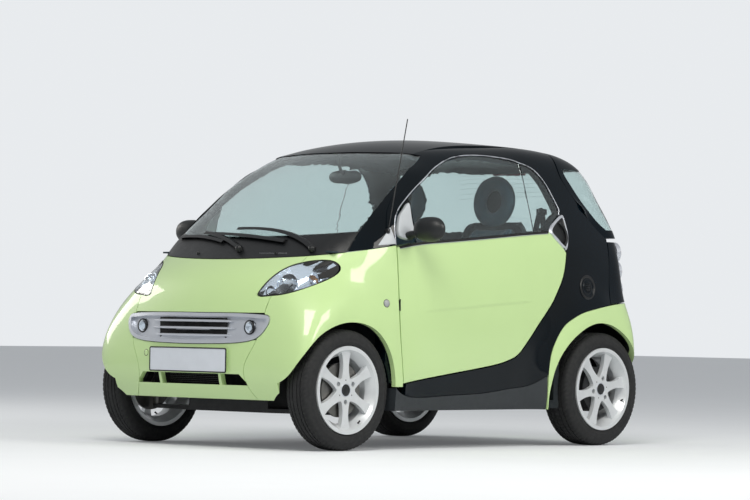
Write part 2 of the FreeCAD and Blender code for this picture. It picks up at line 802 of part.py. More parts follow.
SIDE = ring(spread(-0.77 * HALF_LENGTH, 0.86 * HALF_LENGTH, STATION_STEP), spread(-33, 63, ANGLE_STEP),
            MIDDLE_Z)
SCREEN = fan((0.0, -0.16 * HALF_LENGTH, 0.33 * HEIGHT), over, spread(-73, 9, ANGLE_STEP),
             spread(-48, 48, ANGLE_STEP))
ROOF = fan((0.0, 0.2 * HALF_LENGTH, 0.2 * HEIGHT), over, spread(-34, 32, ANGLE_STEP),
           spread(-28, 28, ANGLE_STEP))
HATCH = fan((0.0, 0.4 * HALF_LENGTH, 0.46 * HEIGHT), over, spread(12, 72, ANGLE_STEP),
            spread(-52, 52, ANGLE_STEP))
NOSE = fan((0.0, -0.48 * HALF_LENGTH, 0.33 * HEIGHT), around, spread(-190, 10, ANGLE_STEP),
           spread(-27, 49, ANGLE_STEP))
TAIL = fan((0.0, 0.48 * HALF_LENGTH, 0.315 * HEIGHT), around, spread(-12, 192, ANGLE_STEP),
           spread(-25, 50, ANGLE_STEP))
cell = slab(SIDE, 0.0, CELL_WALL)
cell = cell.cut(Part.makeCompound([OPENING_TOOL, UNDER_CELL]))
cell = cell.cut(WING_ZONE)
cell = cell.cut(prism(screen_zone(0.0), place_y, -FAR, 0))
cell = cell.cut(HATCH_ZONE)
cell = cell.cut(LAMP_ZONE).cut(box(0, FAR, lamp_front[-1][0], FAR, 0, lamp_front[-1][1] + PANEL_GAP))
cell = largest(cell.common(box(ROOF_SEAM_X, FAR, -FAR, FAR, 0, FAR)))
post = slab(SIDE, WING_WALL + PANEL_GAP, POST_WALL)
post_edge = [(y - SHUT_GAP, z) for y, z in yz(DOOR_FRONT_SHARES)]
post_edge = [(post_edge[0][0], post_edge[0][1] + POST_WALL)] + post_edge
post = post.common(prism(beyond(post_edge, -HALF_LENGTH / 2), place_x, 0, FAR))
post = post.cut(box(0, FAR, -FAR, FAR, -FAR, sill_line[0][1])).cut(FRONT_WELL)
hinge_top_z = HINGE_LOW_Z + HINGE_HEIGHT
inner_x = HINGE_X - HINGE_REACH
leaf_y = HINGE_Y - HINGE_LEAF / 2
hinge = Part.makeCylinder(HINGE_PIN, HINGE_HEIGHT, V(HINGE_X, HINGE_Y, HINGE_LOW_Z))
leaf = box(inner_x, HINGE_X, leaf_y, leaf_y + HINGE_LEAF, HINGE_LOW_Z + HINGE_LEAF,
           hinge_top_z - HINGE_LEAF)
leaf_root = box(inner_x, inner_x + POST_BITE, leaf_y - POST_BITE, leaf_y + HINGE_LEAF,
                HINGE_LOW_Z + HINGE_LEAF, hinge_top_z - HINGE_LEAF)
hinge_room = [box(inner_x - SHUT_GAP, FAR, leaf_y - SHUT_GAP, HINGE_Y + HINGE_PIN + SEAT_GAP,
                  HINGE_LOW_Z, hinge_top_z)]
cell = largest(cell.fuse([post, hinge, leaf, leaf_root]))
save("cell_left", cell)
save("cell_right", mirrored(cell))

# Roof panel between the rails

roof = slab(ROOF, 0.0, ROOF_WALL)
roof = roof.cut(prism(screen_zone(0.0), place_y, -FAR, 0)).cut(HATCH_ZONE)
roof = largest(roof.common(box(-ROOF_SEAM_X, ROOF_SEAM_X, -FAR, FAR, 0, FAR)))
rod_radius = SHUT_GAP / 2 - SEAT_GAP
hatch_axis_z = skin_z(0, hatch_side[0][0])
hatch_axis_y = run_y(shifted(hatch_side, SHUT_GAP), hatch_axis_z) - rod_radius - SEAT_GAP
rods = []
for side in (-1, 1):
    start = side * HATCH_HINGE_X - HINGE_ROD / 2
    rods.append(bar_x(start, start + HINGE_ROD, hatch_axis_y, hatch_axis_z, rod_radius))
    rods.append(box(start, start + HINGE_ROD, hatch_axis_y - HINGE_ROOT, hatch_axis_y,
                    hatch_axis_z - HINGE_ROOT / 2, hatch_axis_z - rod_radius / 2))
roof = largest(roof.fuse(rods))
save("roof_panel", roof)
print("hatch hinge axis", round(hatch_axis_y, 2), round(hatch_axis_z, 2))

# Windscreen and the cowl under it

screen = slab(SCREEN, GLASS_INSET, SCREEN_WALL)
screen = screen.common(prism(screen_zone(0.0), place_y, -FAR, 0))
screen = largest(screen.cut(prism(below(cowl_top), place_x, -FAR, FAR)))
save("windscreen", screen)

cowl = slab(SCREEN, 0.0, BUMPER_WALL).common(prism(screen_zone(0.0), place_y, -FAR, 0))
cowl = largest(cowl.common(prism(below(cowl_top), place_x, -FAR, FAR)).cut(WING_ZONE))
save("cowl", cowl)

# Nose: bonnet, grille, bumper, wings and headlamps

bonnet_seam = xz(BONNET_SEAM_SHARES)
bumper_seam = xz(BUMPER_SEAM_SHARES)
grille_run = xz(GRILLE_SHARES)
grille_loop = grille_run + [(-x, z) for x, z in reversed(grille_run[1:-1])]
headlamp_loop = xz(HEADLAMP_SHARES)
AHEAD = -FAR
BEHIND_NOSE = -HALF_LENGTH / 3
GRILLE_HOLE = loop_prism(grown_loop(grille_loop, PANEL_GAP), place_y, AHEAD, BEHIND_NOSE)
HEADLAMP_HOLE = loop_prism(grown_loop(headlamp_loop, LAMP_RIM_GAP), place_y, AHEAD, BEHIND_NOSE)


def between_seams(seam, gap):
    """The zone between a seam on the left, run downwards, and its mirror image."""
    side = shifted(seam, -gap)
    other = [(-x, z) for x, z in reversed(side)]
    return [side, [side[-1], other[0]], other, [other[-1], side[0]]]


bonnet = slab(NOSE, 0.0, BUMPER_WALL)
bonnet = bonnet.common(prism(between_seams(bonnet_seam, PANEL_GAP / 2), place_y, AHEAD, BEHIND_NOSE))
under_cowl = prism(below(shifted(wing_top, -PANEL_GAP)), place_x, -FAR, FAR)
bonnet = bonnet.common(under_cowl)
bonnet = bonnet.cut(GRILLE_HOLE)
bonnet = bonnet.cut(box(-FAR, FAR, -FAR, FAR, -FAR, grille_run[0][1] + PANEL_GAP))
bonnet = largest(bonnet.cut(HEADLAMP_HOLE).cut(mirrored(HEADLAMP_HOLE)))
save("bonnet", bonnet)

bumper = slab(NOSE, 0.0, BUMPER_WALL)
bumper = bumper.common(prism(between_seams(bumper_seam, PANEL_GAP / 2), place_y, AHEAD, BEHIND_NOSE))
bumper = bumper.cut(GRILLE_HOLE)
intake = [
    [(INTAKE_HALF_TOP, INTAKE_TOP_Z), (INTAKE_HALF_BOTTOM, INTAKE_BOTTOM_Z)],
    [(INTAKE_HALF_BOTTOM, INTAKE_BOTTOM_Z), (-INTAKE_HALF_BOTTOM, INTAKE_BOTTOM_Z)],
    [(-INTAKE_HALF_BOTTOM, INTAKE_BOTTOM_Z), (-INTAKE_HALF_TOP, INTAKE_TOP_Z)],
    [(-INTAKE_HALF_TOP, INTAKE_TOP_Z), (INTAKE_HALF_TOP, INTAKE_TOP_Z)],
]
intake_tool = prism(intake, place_y, AHEAD, BEHIND_NOSE)
bars = [box(side * INTAKE_BAR_X - INTAKE_BAR_WIDTH / 2, side * INTAKE_BAR_X + INTAKE_BAR_WIDTH / 2,
            AHEAD, BEHIND_NOSE, 0, HEIGHT) for side in (-1, 1)]
bumper = bumper.cut(intake_tool.cut(Part.makeCompound(bars)))
plate_y = skin_y(0, PLATE_Z, -1) - PLATE_CARRIER
stand = box(-PLATE_WIDTH / 2 + PLATE_CARRIER, PLATE_WIDTH / 2 - PLATE_CARRIER, plate_y,
            plate_y + PLATE_STAND,
            PLATE_Z - PLATE_HEIGHT / 2 + PLATE_CARRIER, PLATE_Z + PLATE_HEIGHT / 2 - PLATE_CARRIER)
bumper = bumper.cut(box(-FAR, FAR, -FAR, FAR, -FAR, BUMPER_BOTTOM_Z)).fuse(stand)
bumper = largest(bumper)
save("front_bumper", bumper)

grille = slab(NOSE, -GRILLE_LIP, GRILLE_WALL + GRILLE_LIP)
grille = grille.common(loop_prism(grille_loop, place_y, AHEAD, BEHIND_NOSE))
dish = slab(NOSE, -OVERRUN, OVERRUN + GRILLE_DISH)
grille = grille.cut(dish.common(loop_prism(grown_loop(grille_loop, -GRILLE_RIM), place_y, AHEAD,
                                           BEHIND_NOSE)))
for side in (-1, 1):
    hole = Part.makeCylinder(FOG_LAMP_RADIUS, FAR, V(side * FOG_LAMP_X, AHEAD, FOG_LAMP_Z), V(0, 1, 0))
    grille = grille.cut(hole)
for side in (-1, 1):
    slot_z = SLOT_MIDDLE_Z + side * (SLOT_HEIGHT + SLOT_BAR) / 2
    slot = box(-SLOT_HALF_LENGTH, SLOT_HALF_LENGTH, AHEAD, BEHIND_NOSE, slot_z - SLOT_HEIGHT / 2,
               slot_z + SLOT_HEIGHT / 2)
    grille = grille.cut(slot)
save("grille", largest(grille))

fog_lamps = []
for side in (-1, 1):
    face_y = skin_y(side * FOG_LAMP_X, FOG_LAMP_Z, -1) + GRILLE_LIP
    lens = Part.makeCylinder(FOG_LAMP_RADIUS, FOG_LAMP_LENGTH, V(side * FOG_LAMP_X, face_y, FOG_LAMP_Z),
                             V(0, 1, 0))
    fog_lamps.append(lens)
save("fog_lamps", Part.makeCompound(fog_lamps))

wing = slab(NOSE, 0.0, WING_WALL)
wing = wing.common(under_cowl)
front_gap = [(y - SHUT_GAP, z) for y, z in yz(DOOR_FRONT_SHARES)]
front_gap = [(front_gap[0][0], HEIGHT)] + front_gap + [(front_gap[-1][0], -OVERRUN)]
behind_door_front = [
    front_gap[1:-1], [front_gap[-2], front_gap[-1]], [front_gap[-1], (FAR, -OVERRUN)], [(FAR, -OVERRUN),
                                                                                        (FAR, HEIGHT)],
    [(FAR, HEIGHT), front_gap[0]], [front_gap[0], front_gap[1]],
]
wing = wing.cut(prism(behind_door_front, place_x, 0, FAR))
middle = [(x + PANEL_GAP / 2, z) for x, z in bonnet_seam] + [(x + PANEL_GAP / 2, z) for x, z in bumper_seam]
inboard = [middle, [middle[-1], (middle[-1][0], -OVERRUN)], [(middle[-1][0], -OVERRUN), (-FAR, -OVERRUN)],
           [(-FAR, -OVERRUN), (-FAR, middle[0][1])], [(-FAR, middle[0][1]), middle[0]]]
wing = wing.cut(prism(inboard, place_y, AHEAD, 0))
wing = wing.cut(GRILLE_HOLE).cut(HEADLAMP_HOLE)
wing = wing.cut(FRONT_WELL).cut(FRONT_ARCH)
wing = wing.cut(box(-FAR, FAR, -FAR, FAR, -FAR, BUMPER_BOTTOM_Z))
wing = largest(wing.cut(box(-FAR, FAR, FRONT_AXLE_Y, FAR, -FAR, sill_line[0][1])).cut(cell))
save("wing_left", wing)
save("wing_right", mirrored(wing))

lamp = slab(NOSE, 0.0, HEADLAMP_WALL).common(loop_prism(headlamp_loop, place_y, AHEAD, BEHIND_NOSE))
lamp = largest(lamp)
save("headlamp_left", lamp)
save("headlamp_right", mirrored(lamp))

plate_back = plate_y - SEAT_GAP
plate = box(-PLATE_WIDTH / 2, PLATE_WIDTH / 2, plate_back - PLATE_THICKNESS, plate_back,
            PLATE_Z - PLATE_HEIGHT / 2, PLATE_Z + PLATE_HEIGHT / 2)
save("front_plate", plate)

# Carrier behind the front panels

carrier = slab(NOSE, BUMPER_WALL + SEAT_GAP, FRAME_WALL)
carrier = carrier.common(under_cowl)
carrier = carrier.cut(box(-FAR, FAR, CARRIER_END_Y, FAR, -FAR, FAR)).cut(intake_tool)
for part_side in (lambda s: s, mirrored):
    carrier = carrier.cut(part_side(box(CARRIER_HALF, FAR, -FAR, FAR, CARRIER_TOP_Z, FAR)))
    carrier = carrier.cut(part_side(FRONT_WELL)).cut(part_side(FRONT_ARCH)).cut(part_side(cell))
    carrier = carrier.cut(part_side(loop_prism(grown_loop(headlamp_loop, SEAT_GAP), place_y, AHEAD,
                                               BEHIND_NOSE)))
for side in (-1, 1):
    carrier = carrier.cut(Part.makeCylinder(FOG_LAMP_RADIUS + SEAT_GAP, FAR,
                                            V(side * FOG_LAMP_X, AHEAD, FOG_LAMP_Z), V(0, 1, 0)))
carrier = largest(carrier.cut(box(-FAR, FAR, -FAR, FAR, -FAR, BUMPER_BOTTOM_Z)))
save("front_carrier", carrier)

# Doors, with their glass

door = slab(SIDE, 0.0, DOOR_WALL).common(DOOR_TOOL)
corner_room = box(0, DOOR_RELIEF_X, -FAR, DOOR_RELIEF_Y, 0, DOOR_RELIEF_Z)
door = largest(door.cut(FRONT_WELL).cut(REAR_WELL).cut(hinge_room).cut(corner_room))
save("door_left", door)
save("door_right", mirrored(door))

SAIL_ZONE = prism(beyond([(SAIL_TOP_Y, HEIGHT), (SAIL_BOTTOM_Y, 0.0)], -FAR), place_x, 0, FAR)
divider = yz(DIVIDER_SHARES)
behind_divider = prism(beyond(shifted(divider, SHUT_GAP / 2), FAR), place_x, 0, FAR)
ahead_divider = prism(beyond(shifted(divider, -SHUT_GAP / 2), -FAR), place_x, 0, FAR)
opening = prism(DOOR_OPENING, place_x, 0, FAR)
window = slab(SIDE, GLASS_INSET, GLASS_WALL).common(opening).cut(DOOR_TOOL)
door_glass = largest(window.cut(behind_divider).cut(SAIL_ZONE))
save("door_glass_left", door_glass)
save("door_glass_right", mirrored(door_glass))
sail = slab(SIDE, 0.0, SAIL_WALL).common(opening).cut(DOOR_TOOL).common(SAIL_ZONE)
sail = largest(sail)
foot_y = (SAIL_TOP_Y + SAIL_BOTTOM_Y) / 2 - 2 * MIRROR_STALK
stalk_z = MIRROR_Z - MIRROR_HEIGHT / 4
stalk_x = skin_x(foot_y, stalk_z, SAIL_WALL / 2)
stalk = Part.makeCone(1.2 * MIRROR_STALK, 0.8 * MIRROR_STALK, MIRROR_X - stalk_x,
                      V(stalk_x, foot_y, stalk_z), V(1, 0, 0))
head_x = MIRROR_X + MIRROR_WIDTH / 8
glass_y = MIRROR_Y + MIRROR_DEPTH / 8
head_scale = FreeCAD.Matrix()
head_scale.scale(MIRROR_WIDTH / 2, MIRROR_DEPTH / 2 + MIRROR_DEPTH / 8, MIRROR_HEIGHT / 2)
head = Part.makeSphere(1).transformGeometry(head_scale)
head.translate(V(head_x, glass_y, MIRROR_Z))
head = head.cut(box(0, FAR, glass_y, FAR, 0, HEIGHT))
mirror_solid = largest(sail.fuse([stalk, head]))
save("mirror_left", mirror_solid)
save("mirror_right", mirrored(mirror_solid))

quarter = slab(SIDE, GLASS_INSET, GLASS_WALL).common(OPENING_TOOL)
quarter = largest(quarter.cut(prism(grown(DOOR_GREEN, SHUT_GAP), place_x, 0, FAR)).cut(ahead_divider))
save("quarter_glass_left", quarter)
save("quarter_glass_right", mirrored(quarter))

# Sill covers under the doors

SILL = ring(spread(-0.54 * HALF_LENGTH, 0.5 * HALF_LENGTH, STATION_STEP), spread(-41, 0, ANGLE_STEP),
            MIDDLE_Z)
sill = slab(SILL, 0.0, SILL_WALL)
sill_top = [(y, z - PANEL_GAP) for y, z in sill_line]
sill = sill.common(prism(below(sill_top), place_x, 0, FAR))
sill = sill.cut(prism(grown(DOOR_OPENING, SHUT_GAP), place_x, 0,
                      FAR)).cut(FRONT_WELL).cut(FRONT_ARCH).cut(REAR_WELL)
sill = sill.cut(box(0, FAR, sill_line[-1][0] - PANEL_GAP, FAR, 0, FAR))
sill = sill.cut(REAR_ARCH)
sill = largest(sill.cut(box(-FAR, FAR, -FAR, FAR, -FAR, SILL_BOTTOM_Z)))
save("sill_cover_left", sill)
save("sill_cover_right", mirrored(sill))

# Tail: rear arches, bumper, flap, lamps and hatch

panel = slab(TAIL, 0.0, BUMPER_WALL)
arch_run = shifted(rear_arch_top, -PANEL_GAP)
lower = [(arch_run[0][0], SILL_BOTTOM_Z)]
panel = panel.common(prism([arch_run, [arch_run[-1], (FAR, arch_run[-1][1])],
                            [(FAR, arch_run[-1][1]), (FAR, SILL_BOTTOM_Z)],
                            [(FAR, SILL_BOTTOM_Z), lower[0]], [lower[0], arch_run[0]]], place_x, 0, FAR))
panel = panel.cut(REAR_WELL).cut(REAR_ARCH)
panel = largest(panel.cut(box(-FAR, BUMPER_SEAM_X + PANEL_GAP / 2, -FAR, FAR, -FAR, FAR)))
save("rear_arch_left", panel)
save("rear_arch_right", mirrored(panel))

rear_bumper = slab(TAIL, 0.0, BUMPER_WALL)
half = BUMPER_SEAM_X - PANEL_GAP / 2
rear_bumper = largest(rear_bumper.common(box(-half, half, 0, FAR, BUMPER_BOTTOM_Z,
                                             LAMP_BOTTOM_Z - SHUT_GAP)))
flap_axis_z = LAMP_BOTTOM_Z - SHUT_GAP / 2
flap_axis_y = skin_y(0, flap_axis_z, 1)
flap_rods = []
for side in (-1, 1):
    start = side * FLAP_HINGE_X - HINGE_ROD
    flap_rods.append(bar_x(start, start + 2 * HINGE_ROD, flap_axis_y, flap_axis_z, rod_radius))
    flap_rods.append(box(start, start + 2 * HINGE_ROD, flap_axis_y - HINGE_ROOT, flap_axis_y,
                         flap_axis_z - HINGE_ROOT, flap_axis_z))
rear_bumper = largest(rear_bumper.fuse(flap_rods))
save("rear_bumper", rear_bumper)
print("flap hinge axis", round(flap_axis_y, 2), round(flap_axis_z, 2))

housing = slab(TAIL, 0.0, LAMP_WALL)
housing = housing.common(prism(beyond(shifted(lamp_front, PANEL_GAP), FAR), place_x, 0, FAR))
housing = housing.common(box(LAMP_INNER_X, FAR, 0, FAR, LAMP_BOTTOM_Z, HATCH_BOTTOM_Z - SHUT_GAP))
housing = housing.cut(prism(below(shifted(rear_arch_top, PANEL_GAP)), place_x, 0, FAR))
dome_curve = (TAIL_LAMP_RADIUS ** 2 + TAIL_LAMP_BULGE ** 2) / (2 * TAIL_LAMP_BULGE)
domes = []
for lamp_z in TAIL_LAMP_ZS:
    base_y = skin_y(TAIL_LAMP_X, lamp_z, 1)
    drum = Part.makeCylinder(TAIL_LAMP_RADIUS, 2 * TAIL_LAMP_DEPTH + TAIL_LAMP_BULGE,
                             V(TAIL_LAMP_X, base_y - TAIL_LAMP_DEPTH, lamp_z), V(0, 1, 0))
    domes.append(largest(drum.common(ball(TAIL_LAMP_X, base_y + TAIL_LAMP_BULGE - dome_curve, lamp_z,
                                          dome_curve))))
housing = largest(housing.cut(Part.makeCompound(domes)))
save("lamp_housing_left", housing)
save("lamp_housing_right", mirrored(housing))
save("tail_lamps", Part.makeCompound(domes + [mirrored(d) for d in domes]))

flap = slab(TAIL, 0.0, FLAP_WALL)
half = LAMP_INNER_X - SHUT_GAP
flap = largest(flap.common(box(-half, half, 0, FAR, LAMP_BOTTOM_Z, FLAP_TOP_Z)))
save("tailgate_flap", flap)

rear_carrier = slab(TAIL, BUMPER_WALL + SEAT_GAP, FRAME_WALL)
rear_carrier = rear_carrier.cut(box(-FAR, FAR, -FAR, FAR, -FAR, BUMPER_BOTTOM_Z))
rear_carrier = rear_carrier.cut(box(-FAR, FAR, -FAR, FAR, LAMP_BOTTOM_Z - 3 * SHUT_GAP, FAR))
for part_side in (lambda s: s, mirrored):
    rear_carrier = rear_carrier.cut(part_side(REAR_WELL)).cut(part_side(REAR_ARCH)).cut(part_side(cell))
    rear_carrier = rear_carrier.cut(part_side(prism(below(shifted(sill_line, -OVERRUN)), place_x, 0, FAR)))
rear_carrier = largest(rear_carrier.common(box(-FAR, FAR, HEEL_Y, FAR, -FAR, FAR)))
save("rear_carrier", rear_carrier)

hatch_run = shifted(hatch_side, SHUT_GAP)
hatch = slab(HATCH, 0.0, HATCH_WALL)
hatch = hatch.common(prism(beyond(hatch_run, FAR), place_x, -FAR, FAR))
hatch = hatch.cut(box(-FAR, FAR, -FAR, FAR, -FAR, HATCH_BOTTOM_Z))
glass_side = [p for p in shifted(hatch_run, HATCH_FRAME) if HATCH_GLASS_BOTTOM_Z < p[1] < HATCH_GLASS_TOP_Z]
top_y = glass_side[0][0] + (HATCH_GLASS_TOP_Z - glass_side[0][1]) * 0.3
bottom_y = glass_side[-1][0] + (glass_side[-1][1] - HATCH_GLASS_BOTTOM_Z) * 1.6
glass_run = [(top_y, HATCH_GLASS_TOP_Z)] + glass_side + [(bottom_y, HATCH_GLASS_BOTTOM_Z)]
hatch_window = prism(beyond(glass_run, FAR), place_x, -FAR, FAR)
hatch_glass = largest(slab(HATCH, GLASS_INSET, GLASS_WALL).common(hatch_window))
hatch = largest(hatch.cut(hatch_window))
save("hatch_frame", hatch)
save("hatch_glass", hatch_glass)

# Wheels: alloy rims with six spokes, and tyres. The outer face is towards +X.

def revolved(points, centre, axis=V(1, 0, 0)):
    """A solid turned about the X axis through a centre, from a closed run of (x, radius)."""
    wire = Part.makePolygon([V(x, 0, r) for x, r in points + points[:1]])
    solid = Part.Face(wire).revolve(V(0, 0, 0), axis, 360)
    solid.translate(centre)
    return solid


def tyre_solid(width):
    half = width / 2
    side = TYRE_RADIUS - TYRE_SHOULDER
    bead = RIM_RADIUS - FLANGE_HEIGHT
    bulge = (side + bead) / 2
    foot = half - BEAD_INSET - SEAT_GAP
    outer = Part.BSplineCurve()
    outer.interpolate([V(foot, 0, RIM_RADIUS + SEAT_GAP),
                       V(half - BEAD_INSET / 3, 0, RIM_RADIUS + FLANGE_LIP),
                       V(half, 0, bulge), V(half - BEAD_INSET / 3, 0, side)])
    heel = Part.makeLine(V(foot, 0, bead + SEAT_GAP), V(foot, 0, RIM_RADIUS + SEAT_GAP))
    shoulder = Part.Arc(V(half - BEAD_INSET / 3, 0, side),
                        V(half - TYRE_SHOULDER * 0.42, 0, TYRE_RADIUS - TYRE_SHOULDER * 0.34),
                        V(half - TYRE_SHOULDER, 0, TYRE_RADIUS - CROWN_DROP))
    tread = Part.Arc(V(half - TYRE_SHOULDER, 0, TYRE_RADIUS - CROWN_DROP), V(0, 0, TYRE_RADIUS),
                     V(TYRE_SHOULDER - half, 0, TYRE_RADIUS - CROWN_DROP))
    first = [heel, outer.toShape(), shoulder.toShape()]
    second = [e.mirror(V(0, 0, 0), V(1, 0, 0)) for e in first]
    base = Part.makeLine(V(foot, 0, bead + SEAT_GAP), V(-foot, 0, bead + SEAT_GAP))
    wire = Part.Wire(Part.__sortEdges__(first + [tread.toShape()] + second + [base]))
    return Part.Face(wire).revolve(V(0, 0, 0), V(1, 0, 0), 360)


def rim_solid(width, turn):
    half = width / 2 - BEAD_INSET
    seat = RIM_RADIUS - FLANGE_HEIGHT
    well = RIM_WELL_RADIUS
    well_edge = half * WELL_SHARE
    outside = [(half + FLANGE_LIP, RIM_RADIUS), (half, RIM_RADIUS), (half, seat), (well_edge, well),
               (-well_edge, well),
               (-half, seat), (-half, RIM_RADIUS), (-half - FLANGE_LIP, RIM_RADIUS)]
    inside = [(-half - FLANGE_LIP, seat - RIM_WALL), (-well_edge, well - RIM_WALL),
              (well_edge, well - RIM_WALL),
              (half + FLANGE_LIP, seat - RIM_WALL)]
    rim = revolved(outside + inside, V(0, 0, 0))
    face = half + FLANGE_LIP - SPOKE_INSET
    hub = Part.makeCylinder(HUB_RADIUS, SPOKE_THICKNESS, V(face - SPOKE_THICKNESS, 0, 0), V(1, 0, 0))
    spokes = []
    reach = seat - RIM_WALL / 2
    for i in range(SPOKE_COUNT):
        root = SPOKE_ROOT_WIDTH / 2
        neck = SPOKE_NECK_WIDTH / 2
        tip = SPOKE_TIP_WIDTH / 2
        neck_at = HUB_RADIUS + (reach - HUB_RADIUS) * 0.38
        left = Part.BSplineCurve()
        left.interpolate([V(0, -root, HUB_RADIUS * 0.7), V(0, -neck, neck_at), V(0, -tip, reach)])
        right = Part.BSplineCurve()
        right.interpolate([V(0, root, HUB_RADIUS * 0.7), V(0, neck, neck_at), V(0, tip, reach)])
        ends = [Part.makeLine(V(0, -root, HUB_RADIUS * 0.7), V(0, root, HUB_RADIUS * 0.7)),
                Part.makeLine(V(0, -tip, reach), V(0, tip, reach))]
        wire = Part.Wire(Part.__sortEdges__([left.toShape(), right.toShape()] + ends))
        spoke = Part.Face(wire).extrude(V(SPOKE_THICKNESS, 0, 0))
        spoke.translate(V(face - SPOKE_THICKNESS, 0, 0))
        spoke.rotate(V(0, 0, 0), V(1, 0, 0), i * 360 / SPOKE_COUNT)
        spokes.append(spoke)
    rim = rim.fuse([hub] + spokes)
    holes = []
    for i in range(BOLT_COUNT):
        angle = math.radians(30 + i * 360 / BOLT_COUNT)
        y = BOLT_CIRCLE / 2 * math.cos(angle)
        z = BOLT_CIRCLE / 2 * math.sin(angle)
        holes.append(Part.makeCylinder(BOLT_HEAD_RADIUS, SPOKE_THICKNESS / 2,
                                       V(face - SPOKE_THICKNESS / 2, y, z), V(1, 0, 0)))
        holes.append(Part.makeCylinder(BOLT_HOLE_RADIUS, FAR, V(-FAR / 2, y, z), V(1, 0, 0)))
    holes.append(Part.makeCylinder(HUB_BORE, FAR, V(-FAR / 2, 0, 0), V(1, 0, 0)))
    rim = rim.cut(holes)
    rim.rotate(V(0, 0, 0), V(1, 0, 0), turn)
    return largest(rim), face


def mount_face(width):
    """Where the back of a rim's hub lies, from the wheel's middle."""
    return width / 2 - BEAD_INSET + FLANGE_LIP - SPOKE_INSET - SPOKE_THICKNESS


for end, axle_y, wheel_x, width, turn in (
        ("front", FRONT_AXLE_Y, FRONT_WHEEL_X, FRONT_TYRE_WIDTH, 0.0),
        ("rear", REAR_AXLE_Y, REAR_WHEEL_X, REAR_TYRE_WIDTH, REAR_WHEEL_TURN)):
    tyre = tyre_solid(width)
    tyre.translate(V(wheel_x, axle_y, TYRE_RADIUS))
    rim, face = rim_solid(width, turn)
    rim.translate(V(wheel_x, axle_y, TYRE_RADIUS))
    save(end + "_tyre_left", tyre)
    save(end + "_tyre_right", mirrored(tyre))
    save(end + "_rim_left", rim)
    save(end + "_rim_right", mirrored(rim))

# Front knuckles, arms and crossmember

front_hub_x = FRONT_WHEEL_X + mount_face(FRONT_TYRE_WIDTH) - SEAT_GAP
rear_hub_x = REAR_WHEEL_X + mount_face(REAR_TYRE_WIDTH) - SEAT_GAP
low_ball_z = TYRE_RADIUS - BALL_SPREAD
high_ball_z = TYRE_RADIUS + BALL_SPREAD
hub = bar_x(KINGPIN_X, front_hub_x, FRONT_AXLE_Y, TYRE_RADIUS, FLANGE_HUB_RADIUS)
disc = bar_x(front_hub_x - DISC_OFFSET - DISC_WALL, front_hub_x - DISC_OFFSET, FRONT_AXLE_Y, TYRE_RADIUS,
             DISC_RADIUS)
upright = Part.makeCylinder(UPRIGHT_RADIUS, 2 * BALL_SPREAD - 2 * ARM_HEIGHT,
                            V(KINGPIN_X, FRONT_AXLE_Y, low_ball_z + ARM_HEIGHT))
knuckle = upright.fuse([hub, disc])
spigot = bar_x(front_hub_x - SEAT_GAP, front_hub_x + SPIGOT_LENGTH, FRONT_AXLE_Y, TYRE_RADIUS,
               HUB_BORE - SEAT_GAP)
knuckle = largest(knuckle.fuse(spigot))
save("knuckle_left", knuckle)
save("knuckle_right", mirrored(knuckle))
arms = []
for side in (-1, 1):
    for z in (low_ball_z, high_ball_z):
        ball_end = Part.makeCylinder(UPRIGHT_RADIUS, ARM_HEIGHT - SEAT_GAP,
                                     V(side * KINGPIN_X, FRONT_AXLE_Y,
                                       z if z < TYRE_RADIUS else z - ARM_HEIGHT + SEAT_GAP))
        low = z if z < TYRE_RADIUS else z - ARM_HEIGHT + SEAT_GAP
        plate_run = [
            V(side * KINGPIN_X, FRONT_AXLE_Y - UPRIGHT_RADIUS, low),
            V(side * CROSS_HALF, FRONT_AXLE_Y - ARM_SPREAD, low),
            V(side * CROSS_HALF, FRONT_AXLE_Y + ARM_SPREAD, low),
            V(side * KINGPIN_X, FRONT_AXLE_Y + UPRIGHT_RADIUS, low),
        ]
        arm = Part.Face(Part.makePolygon(plate_run + plate_run[:1])).extrude(V(0, 0, ARM_HEIGHT - SEAT_GAP))
        arms += [ball_end, arm]
cross = box(-CROSS_HALF, CROSS_HALF, FRONT_AXLE_Y - ARM_SPREAD, FRONT_AXLE_Y + ARM_SPREAD, low_ball_z,
            high_ball_z)
for side in (-1, 1):
    rail_x = side * RAIL_X - RAIL_WIDTH / 2
    arms.append(box(rail_x, rail_x + RAIL_WIDTH, FRONT_AXLE_Y + ARM_SPREAD, TOE_Y, PAN_BOTTOM_Z,
                    PAN_BOTTOM_Z + RAIL_HEIGHT))
axle = cross.fuse(arms)
save("front_axle", largest(axle))

# Rear axle beam, with the engine block and the silencer

beam = bar_x(-rear_hub_x + DISC_WALL, rear_hub_x - DISC_WALL, REAR_AXLE_Y, BEAM_Z, BEAM_RADIUS)
rear_parts = [beam]
for side in (-1, 1):
    inner = rear_hub_x - DRUM_WIDTH
    drum = bar_x(inner, rear_hub_x, REAR_AXLE_Y, TYRE_RADIUS, DRUM_RADIUS)
    carrier = box(inner - CARRIER_WALL, inner, REAR_AXLE_Y - BEAM_RADIUS, REAR_AXLE_Y + BEAM_RADIUS,
                  BEAM_Z, TYRE_RADIUS + BEAM_RADIUS)
    spigot = bar_x(rear_hub_x - SEAT_GAP, rear_hub_x + SPIGOT_LENGTH, REAR_AXLE_Y, TYRE_RADIUS,
                   HUB_BORE - SEAT_GAP)
    piece = drum.fuse([carrier, spigot])
    rear_parts.append(piece if side > 0 else mirrored(piece))
for side in (-1, 1):
    bracket_x = side * BRACKET_X - BRACKET_WIDTH / 2
    rear_parts.append(box(bracket_x, bracket_x + BRACKET_WIDTH, REAR_AXLE_Y - BEAM_RADIUS,
                          REAR_AXLE_Y + BEAM_RADIUS,
                          BEAM_Z, BOOT_FLOOR_Z - PAN_WALL))
rear_axle = rear_parts[0].fuse(rear_parts[1:])
save("rear_axle", largest(rear_axle))
